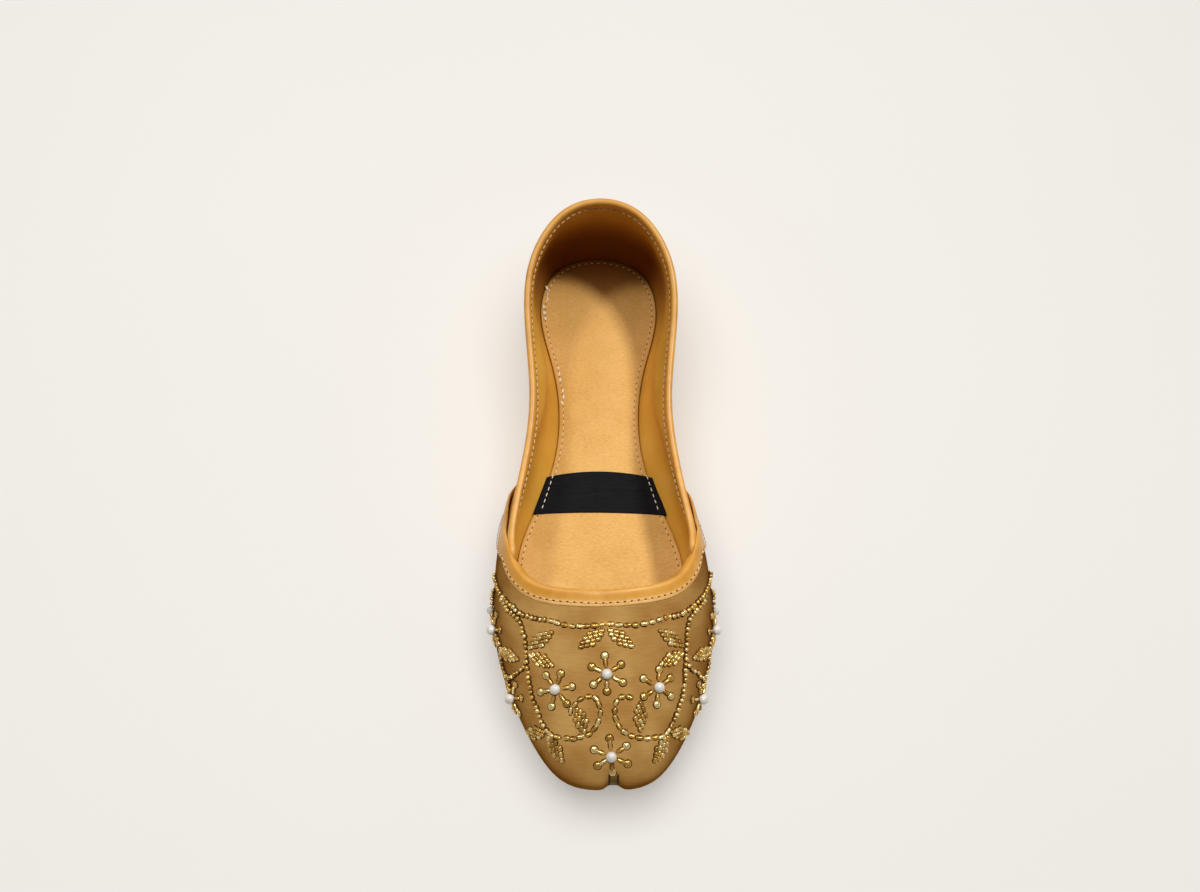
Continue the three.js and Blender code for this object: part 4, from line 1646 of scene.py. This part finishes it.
@dataclass
class Embroidery:
    """Beadwork of the vamp, in pattern coordinates.

    A pattern point is (around, up): hundredths of the way round the shoe from the toe's middle, and hundredths
    of the way up from the feather line to the throat. Patterns are laid on both sides alike unless they say so.
    A leaf is its base and its tip, and a flower its middle and its first petal's turn in degrees. Lengths are in
    millimetres, off is a distance off the vamp's face, and a pair of sizes is the least and the most.
    """

    last: ShoeLast
    face: float = 1.5
    bead: Triple = (1.72, 1.72, 1.6)
    bugle: Pair = (3.0, 1.5)
    leaf_bead: Pair = (2.4, 1.45)
    pearl: float = 4.2
    throat_chain: tuple[Pair, ...] = (
        (21, 66), (19, 75), (16, 82), (13.2, 84.5), (9.6, 87.5), (6.4, 89), (3.6, 90.4), (0, 91))
    main_vine: tuple[Pair, ...] = (
        (17.4, 77.5), (14, 81.2), (12.6, 78.7), (11.85, 75.3), (11.4, 71.5), (10.9, 67.7), (10.3, 64.2), (9.4, 62),
        (8.3, 60), (7.2, 59.2), (5.5, 60.6), (4.05, 62.2), (2.45, 64), (1.4, 66.6), (1.0, 69.8), (1.45, 72.3),
        (2.5, 73.2), (3.5, 72.5), (4.3, 70.2), (4.7, 67.6))
    flank_vine: tuple[Pair, ...] = (
        (19.6, 66), (19.8, 56), (19.2, 50), (18.5, 52.5), (17.4, 54))
    low_vine: tuple[Pair, ...] = (
        (17.0, 57), (16.1, 60), (15.6, 58), (15.35, 54), (14.8, 52.4), (14.0, 54), (13.4, 51.3))
    branch: tuple[Pair, ...] = ((11.5, 70.3), (12.9, 63), (14.0, 54.8))
    leaves: tuple[tuple[float, float, float, float], ...] = (
        (11.3, 75.8, 8.1, 85.5), (11.1, 74.4, 7.2, 77.0), (15.8, 57.5, 12.7, 69.0), (7.85, 58.2, 10.6, 47.0),
        (7.4, 57.9, 5.3, 53.0), (0.5, 89.6, 4.15, 84.3))
    spiral_leaves: tuple[tuple[float, float, float, float], ...] = (
        (4.3, 71.2, 4.0, 63.8), (-3.85, 70.0, -3.05, 64.0))
    flowers: tuple[Triple, ...] = (
        (0, 78.5, 90), (6.5, 72.3, 84), (-6.5, 72.0, 76), (0.35, 57.8, 94))
    side_flowers: tuple[Pair, ...] = ((17.6, 54.0), (13.2, 49.0))
    side_turn: float = 90.0
    pearl_off: float = 1.7
    edge_pearl: Pair = (19.2, 50)
    edge_pearl_off: float = 1.3
    edge_pearl_size: float = 0.75
    petals: int = 6
    petal: float = 6.6
    petal_sizes: Pair = (0.94, 1.06)
    petal_sway: float = 3.0
    petal_bugle: Pair = (3.4, 1.25)
    petal_bugle_at: float = 0.6
    disc: Triple = (2.8, 2.8, 1.2)
    disc_off: float = 0.4
    chain_off: float = 0.6
    chain_jog: float = 0.12
    chain_sway: float = 0.1
    chain_sizes: Pair = (0.86, 1.12)
    round_pitch: float = 1.95
    bugle_pitch: float = 3.15
    leaf_off: float = 0.55
    leaf_half: float = 2.35
    leaf_row: float = 1.4
    leaf_slant: float = 24.0
    leaf_fullness: float = 0.75
    leaf_taper: Pair = (1.12, 0.3)
    leaf_run: float = 2.2
    leaf_fill: float = 0.94
    leaf_spill: float = 0.35
    leaf_sway: float = 0.05
    leaf_sizes: Pair = (0.85, 1.1)
    leaf_samples: int = 241
    least_samples: int = 7
    net_around: Pair = (0.28, 0.72)
    net_up: Pair = (0.3, 0.98)
    net_counts: tuple[int, int] = (111, 86)
    settle_steps: int = 3
    _net: tuple[np.ndarray, np.ndarray] = field(init=False, repr=False)

    def __post_init__(self) -> None:
        """Lay a net of points over the vamp's face, to find the nearest place on it."""
        sides = (np.linspace(*span, count) for span, count in zip((self.net_around, self.net_up), self.net_counts))
        u, v = (values.ravel() for values in np.meshgrid(*sides))
        self._net = (np.stack([u, v], axis=1), self.last.on_upper(u, v, self.face))

    def _point(self, around: np.ndarray, up: np.ndarray, off: float) -> np.ndarray:
        """Give points of the vamp's face at pattern points."""
        return self.last.on_upper(0.5 - np.asarray(around) / 100, np.asarray(up) / 100, self.face + off)

    def _line(self, corners: Sequence[Pair], sign: int, off: float = 0.0) -> Line:
        """Give the smooth line through pattern points.

        Args:
            corners: the pattern points.
            sign: 1 for the inner side, -1 for the outer.
            off: distance off the vamp's face.

        Returns:
            The line.
        """
        flat = smooth_line(corners)
        around = flat[:, 0] * sign
        points = self._point(around, flat[:, 1], off)
        return Line(points, self._point(around, flat[:, 1], off + 1) - points)

    def _basis(self, around: float, up: float) -> tuple[np.ndarray, np.ndarray, np.ndarray, np.ndarray]:
        """Give a place on the vamp and its directions.

        Args:
            around: the pattern point's first number.
            up: its second number.

        Returns:
            The place, the normal, the direction to the inner side and the direction up the vamp.
        """
        at = self._point([around], [up], 0.0)[0]
        normal = self._point([around], [up], 1.0)[0] - at
        above = self._point([around], [up + 0.5], 0.0)[0] - at
        above /= np.linalg.norm(above)
        across = np.cross(above, normal)
        return at, normal, across / np.linalg.norm(across), above

    def build(self) -> None:
        """Build chains, leaves, flowers and pearls, each as one joined piece."""
        rng = np.random.default_rng(7)
        rounds, rods = self._chains(rng)
        bugles = self._leaves(rng)
        petals, discs, pearls = self._flowers(rng)
        for name, shape, places, finish, seed in (
                ("bead_rounds", rice_grain(*self.bead, sides=10, rings=8), rounds, GILT, 3),
                ("bead_bugles", bugle_bead(*self.bugle), rods, GILT, 13),
                ("leaf_beads", bugle_bead(*self.leaf_bead), bugles, GILT, 5),
                ("petal_bugles", bugle_bead(*self.petal_bugle), petals, GILT, 8),
                ("petal_discs", rice_grain(*self.disc, sides=14, rings=8), discs, GILT, 10),
                ("pearls", pearl_ball(self.pearl), pearls, PEARL, 12)):
            scatter(name, shape, places, finish, seed=seed)
        # dark pads of couching thread, which also stand as painted shade round each bead
        for name, places, down, size in (
                ("round_couching_shade", rounds, 0.6, (2.7, 2.7)), ("bugle_couching_shade", rods, 0.5, (3.7, 2.4)),
                ("leaf_couching_shade", bugles, 0.5, (3.2, 2.2)), ("petal_couching_shade", petals, 0.4, (4.1, 2.0)),
                ("disc_couching_shade", discs, 0.3, (3.55, 3.55))):
            self._couch_with_shade(name, places, down, size)

    @staticmethod
    def _couch_with_shade(name: str, places: Sequence[Matrix], down: float, size: Pair) -> None:
        """Bed every bead in a dark pad of couching thread, some length and width, down below its middle; its dark rim
        round the bead is painted shade.
        """
        beds = [place @ Matrix.Translation((0, 0, -down)) for place in places]
        scatter(name, rice_grain(*size, height=0.6, sides=10), beds, THREAD_AND_SHADE)

    def _chains(self, rng: np.random.Generator) -> tuple[list[Matrix], list[Matrix]]:
        """String every chain and vine: round beads up to some share of its length, and bugles from there.

        Args:
            rng: the random source.

        Returns:
            The places of the round beads, and those of the bugles.
        """
        rounds, rods = [], []
        for side in Side:
            ends = len(self.main_vine) - (2 if side is Side.INNER else 0)
            chains = ((self.throat_chain, 0.62), (self.main_vine[:ends], 0.56), (self.flank_vine, 0.5),
                      (self.low_vine, 1.0), (self.branch, 1.0))
            for corners, change in chains:
                line = self._line(corners, side.value, self.chain_off)
                parts = [(rounds, self.round_pitch, (0.0, change))]
                if change < 1:
                    parts.append((rods, self.bugle_pitch, (change, 1.0)))
                for strung, pitch, span in parts:
                    for at, ahead, normal in line.walk(pitch, start=0.5, span=span):
                        jog = rng.normal(0, self.chain_jog, 3)
                        turn = ahead + rng.normal(0, self.chain_sway, 3) * np.linalg.norm(ahead)
                        strung.append(pose(at + jog, turn, normal, rng.uniform(*self.chain_sizes, 3)))
        return rounds, rods

    def _leaf(self, base: Pair, tip: Pair, hand: int,
              rng: np.random.Generator) -> list[Matrix]:
        """Lay one leaf: slanted rows of bugles side by side, each as long as the leaf is there.

        Args:
            base: where the leaf leaves its stem.
            tip: where it ends.
            hand: 1 where the rows climb to the left of the leaf's own line, -1 to the right.
            rng: the random source.

        Returns:
            The place of each bugle.
        """
        line = self._line([base, tip], 1, self.leaf_off)
        spine = line.points
        length = float(np.linalg.norm(np.diff(spine, axis=0), axis=1).sum())
        start, normal = spine[0], line.normals[len(spine) // 2]
        ahead = (spine[-1] - spine[0]) / np.linalg.norm(spine[-1] - spine[0])
        normal = normal / np.linalg.norm(normal)
        across = np.cross(normal, ahead) * hand
        slant = math.radians(self.leaf_slant)
        along = np.array([math.cos(slant), math.sin(slant)])
        aside = np.array([-math.sin(slant), math.cos(slant)])
        samples = np.linspace(-length, length, self.leaf_samples)
        wide, taper = self.leaf_taper
        placed = []
        rows = int(math.ceil(length / self.leaf_row))
        for k in range(-rows, rows + 1):
            middle = np.array([length / 2, 0]) + aside * (k + 0.5) * self.leaf_row
            flat = middle + np.outer(samples, along)
            share = flat[:, 0] / length
            full = np.sin(np.pi * np.clip(share, 0, 1)) ** self.leaf_fullness
            inside = (share > 0) & (share < 1) & (np.abs(flat[:, 1]) < self.leaf_half * full * (wide - taper * share))
            if inside.sum() < self.least_samples:
                continue
            low, high = samples[inside].min() - self.leaf_spill, samples[inside].max() + self.leaf_spill
            count = max(int(round((high - low) / self.leaf_run)), 1)
            run = (high - low) / count
            for n in range(count):
                x, y = middle + along * (low + (n + 0.5) * run)
                lean = [part + rng.normal(0, self.leaf_sway) for part in along]
                size = (self.leaf_fill * run / self.leaf_bead[0], *(rng.uniform(*self.leaf_sizes) for _ in range(2)))
                at = start + ahead * x + across * y
                placed.append(self._settle(at, ahead * lean[0] + across * lean[1], 0.0, self.leaf_off, size))
        return placed

    def _leaves(self, rng: np.random.Generator) -> list[Matrix]:
        """Lay the leaves on both sides, and the spiral vines' own leaves.

        Args:
            rng: the random source.

        Returns:
            The place of each bugle.
        """
        bugles = []
        for a0, u0, a1, u1 in self.leaves:
            for side in Side:
                bugles += self._leaf((side.value * a0, u0), (side.value * a1, u1), side.value, rng)
        for a0, u0, a1, u1 in self.spiral_leaves:
            bugles += self._leaf((a0, u0), (a1, u1), 1 if a0 > 0 else -1, rng)
        return bugles

    def _flowers(self, rng: np.random.Generator) -> tuple[list[Matrix], list[Matrix], list[Matrix]]:
        """Lay petals round each flower's pearl, a bugle and a disc for each, and the edge pearls.

        Args:
            rng: the random source.

        Returns:
            The places of the petals' bugles, of their discs and of the pearls.
        """
        petals, discs, pearls = [], [], []
        sides = [(side.value * around, up, self.side_turn) for around, up in self.side_flowers for side in Side]
        for around, up, turn in [*self.flowers, *sides]:
            at, normal, across, above = self._basis(around, up)
            for k in range(self.petals):
                angle = math.radians(turn + 360 * k / self.petals + rng.normal(0, self.petal_sway))
                ahead = across * math.cos(angle) + above * math.sin(angle)
                reach = self.petal * rng.uniform(*self.petal_sizes)
                petals.append(self._settle(at, ahead, self.petal_bugle_at * reach, self.leaf_off))
                discs.append(self._settle(at, ahead, reach, self.disc_off))
            pearls.append(pose(at + normal * self.pearl_off, across, normal))
        for side in Side:
            at, normal, across, _ = self._basis(side.value * self.edge_pearl[0], self.edge_pearl[1])
            pearls.append(pose(at + normal * self.edge_pearl_off, across, normal, (self.edge_pearl_size,) * 3))
        return petals, discs, pearls

    def _settle(self, at: np.ndarray, ahead: np.ndarray, reach: float, off: float,
                size: Sequence[float] = (1, 1, 1)) -> Matrix:
        """Put a shape at a distance from a place, back down on the vamp's face.

        Args:
            at: the place in millimetres.
            ahead: the direction to go, which the shape's x takes.
            reach: how far to go.
            off: how far the shape's middle stands off the face.
            size: the shape's scale along its own axes.

        Returns:
            The shape's place.
        """
        goal = at + ahead * reach
        flat, points = self._net
        u, v = flat[np.argmin(((points - goal) ** 2).sum(1))]
        for _ in range(self.settle_steps):
            du, dv = (d[0] for d in self.last.slopes(np.array([u]), np.array([v])))
            delta = goal - self.last.on_upper(u, v, self.face)[0]
            system = np.array([[du @ du, du @ dv], [du @ dv, dv @ dv]])
            step = np.linalg.solve(system, [du @ delta, dv @ delta])
            u, v = u + step[0], min(v + step[1], 1.0)
        point = self.last.on_upper(u, v, self.face)[0]
        normal = self.last.on_upper(u, v, self.face + 1)[0] - point
        return pose(point + normal * off, ahead, normal, size)


# ---------------------------------------------------------------- stage

@dataclass
class Studio:
    """Pale floor, soft lights and the camera above the toe.

    Places and sizes are in metres, powers in watts and angles in degrees. A spot is where it hangs and where it
    aims, and a box is where it hangs and how wide it is.
    """

    azimuth: float = -3.57
    elevation: float = 64.93
    roll: float = 3.75
    distance: float = 0.65
    focal: float = 45.84
    sensor: float = 36.0
    target: Triple = (0.0002, -0.0719, 0.020)
    inner_key: Triple = (0.42, 0.21, 1.03)
    outer_key: Triple = (-0.48, 0.25, 1.03)
    key_size: float = 0.15
    box_aim: Triple = (0, -0.09, 0)
    key_powers: Pair = (7.8, 4.0)
    vamp_spot: tuple[Triple, Triple] = (
        (0.0, -0.25, 1.0), (0.002, -0.155, 0.04))
    vamp_power: float = 92.0
    vamp_cone: float = 10.0
    sock_spot: tuple[Triple, Triple] = (
        (-0.04, -0.22, 1.0), (0.005, -0.13, 0.02))
    sock_power: float = 17.0
    sock_cone: float = 14.0
    spot_radius: float = 0.1
    floor_box: tuple[Triple, float] = ((-0.05, 0.1, 1.5), 1.5)
    floor_power: float = 13.2
    wash_box: tuple[Triple, float] = ((0.0, 0.0, 1.6), 1.8)
    wash_power: float = 16.8
    floor_half: float = 3.0
    sky_colour: str = "f4f2ee"
    sky: float = 0.09

    def build(self, cloth: bpy.types.Object) -> None:
        """Build floor, lights, world and camera.

        Args:
            cloth: the vamp's cloth, which the keys leave out and a spot of its own lights.
        """
        floor = self._floor()
        inner = self._light("inner_softbox", (self.inner_key, self.key_size), self.key_powers[0])
        outer = self._light("outer_softbox", (self.outer_key, self.key_size), self.key_powers[1])
        wide = self._light("floor_softbox", self.floor_box, self.floor_power)
        wash = self._light("floor_wash", self.wash_box, self.wash_power)
        wash.data.use_shadow = False
        vamp = self._spot("vamp_spot", self.vamp_spot, self.vamp_cone, self.vamp_power)
        sock = self._spot("sock_spot", self.sock_spot, self.sock_cone, self.sock_power)
        for light, things, state in ((inner, [floor, cloth], "EXCLUDE"), (outer, [floor, cloth], "EXCLUDE"),
                                     (sock, [floor, cloth], "EXCLUDE"), (wide, [floor], "INCLUDE"),
                                     (wash, [floor], "INCLUDE"), (vamp, [cloth], "INCLUDE")):
            self._share(light, things, state)
        world = bpy.data.worlds.new("studio")
        world.use_nodes = True
        background = world.node_tree.nodes["Background"]
        background.inputs["Color"].default_value = srgb(self.sky_colour)
        background.inputs["Strength"].default_value = self.sky
        bpy.context.scene.world = world
        bpy.context.scene.view_settings.view_transform = "Standard"
        self._camera()

    def _floor(self) -> bpy.types.Object:
        """Lay the floor, which belongs to the stage.

        Returns:
            The floor.
        """
        bm = bmesh.new()
        bmesh.ops.create_grid(bm, x_segments=1, y_segments=1, size=self.floor_half)
        mesh = bpy.data.meshes.new("floor")
        bm.to_mesh(mesh)
        bm.free()
        mesh.materials.append(FLOOR.material())
        floor = add_object("floor", mesh)
        return floor

    @staticmethod
    def _hang(lamp: bpy.types.Light, at: Triple,
              aim: Triple) -> bpy.types.Object:
        """Hang a lamp.

        Args:
            lamp: the lamp, whose name the light takes.
            at: where it hangs.
            aim: where it aims.

        Returns:
            The light.
        """
        light = add_object(lamp.name, lamp)
        light.location = at
        light.rotation_euler = (Vector(aim) - Vector(at)).to_track_quat("-Z", "Y").to_euler()
        return light

    def _spot(self, name: str, line: tuple[Triple, Triple], cone: float,
              power: float) -> bpy.types.Object:
        """Hang a soft spot that opens up one part of the shoe.

        Args:
            name: the spot's name.
            line: where it hangs and where it aims.
            cone: its full cone in degrees, all of it soft.
            power: its power in watts.

        Returns:
            The spot.
        """
        lamp = bpy.data.lights.new(name, "SPOT")
        lamp.energy, lamp.shadow_soft_size = power, self.spot_radius
        lamp.spot_size, lamp.spot_blend = math.radians(cone), 1.0
        return self._hang(lamp, *line)

    def _light(self, name: str, box: tuple[Triple, float], power: float) -> bpy.types.Object:
        """Hang one square soft light that faces the shoe.

        Args:
            name: the light's name.
            box: where it hangs and how wide it is.
            power: its power in watts.

        Returns:
            The light.
        """
        at, size = box
        lamp = bpy.data.lights.new(name, "AREA")
        lamp.energy, lamp.size = power, size
        return self._hang(lamp, at, self.box_aim)

    @staticmethod
    def _share(light: bpy.types.Object, things: Sequence[bpy.types.Object], state: str) -> None:
        """Let a light fall on these things alone, or on everything but them.

        Args:
            light: the light.
            things: the pieces that it is shared by.
            state: INCLUDE to light them alone, EXCLUDE to light all but them.
        """
        receivers = bpy.data.collections.new(f"{light.name}_receivers")
        for thing in things:
            receivers.objects.link(thing)
        for entry in receivers.collection_objects:
            entry.light_linking.link_state = state
        light.light_linking.receiver_collection = receivers

    def _camera(self) -> None:
        """Set the camera above the toe, rolled a little."""
        e, a, r = (math.radians(x) for x in (self.elevation, self.azimuth, self.roll))
        back = Vector((math.sin(a) * math.cos(e), -math.cos(a) * math.cos(e), math.sin(e)))
        right = Vector((math.cos(a), math.sin(a), 0))
        up = back.cross(right)
        x = right * math.cos(r) + up * math.sin(r)
        y = up * math.cos(r) - right * math.sin(r)
        lens = bpy.data.cameras.new("camera")
        lens.lens = self.focal
        lens.sensor_width = self.sensor
        camera = add_object("camera", lens)
        camera.matrix_world = (Matrix.Translation(Vector(self.target) + back * self.distance)
                               @ Matrix((x, y, back)).transposed().to_4x4())
        bpy.context.scene.camera = camera


def main() -> None:
    """Build the shoe's sub-assemblies in order, then the studio."""
    logging.basicConfig(level=logging.INFO, format="%(name)s: %(message)s")
    last = ShoeLast()
    cloth = Upper(last).build()
    throat = ThroatFold(last)
    quarter = QuarterFold()
    wing = last.wing_end + throat.after_tip
    Binding(last, "quarter_binding_strip", "quarter_binding", last.quarter_top, -quarter.reach, quarter.reach,
            quarter.section,
            stitch_rows=((-2.22, -2.7, 1.0), (0.75, -1.7, 0.76)),
            # wear and painted highlight on the roll's crest
            wear_and_highlight=((0, 0), (0.2, 0.0), (0.27, 0.35), (0.33, 0.1), (0.4, 0), (1, 0)),
            thread_width=0.4, hole=(0.45, 0.35)).build()
    Binding(last, "throat_binding_strip", "vamp_binding", last.vamp_top, wing, 1 - wing, throat.section,
            stitch_rows=((2.2, -3.4, 1.0),),
            # wear and painted highlight on the flange and the crest
            wear_and_highlight=((0, 0.9), (0.09, 0.8), (0.13, 0.1), (0.2, 0), (0.28, 0.1), (0.34, 0.25), (0.42, 0), (1, 0.2)),
            rise=throat.rise, wear_and_highlight_along=throat.wear_and_highlight_along, thread=TAN_THREAD, thread_width=0.5, hole=(1.05, 0.55),
            dash=1.8).build()
    Sole(last).build()
    ToeTab(last).build()
    Embroidery(last).build()
    Studio().build(cloth)


if __name__ == "__main__":
    main()
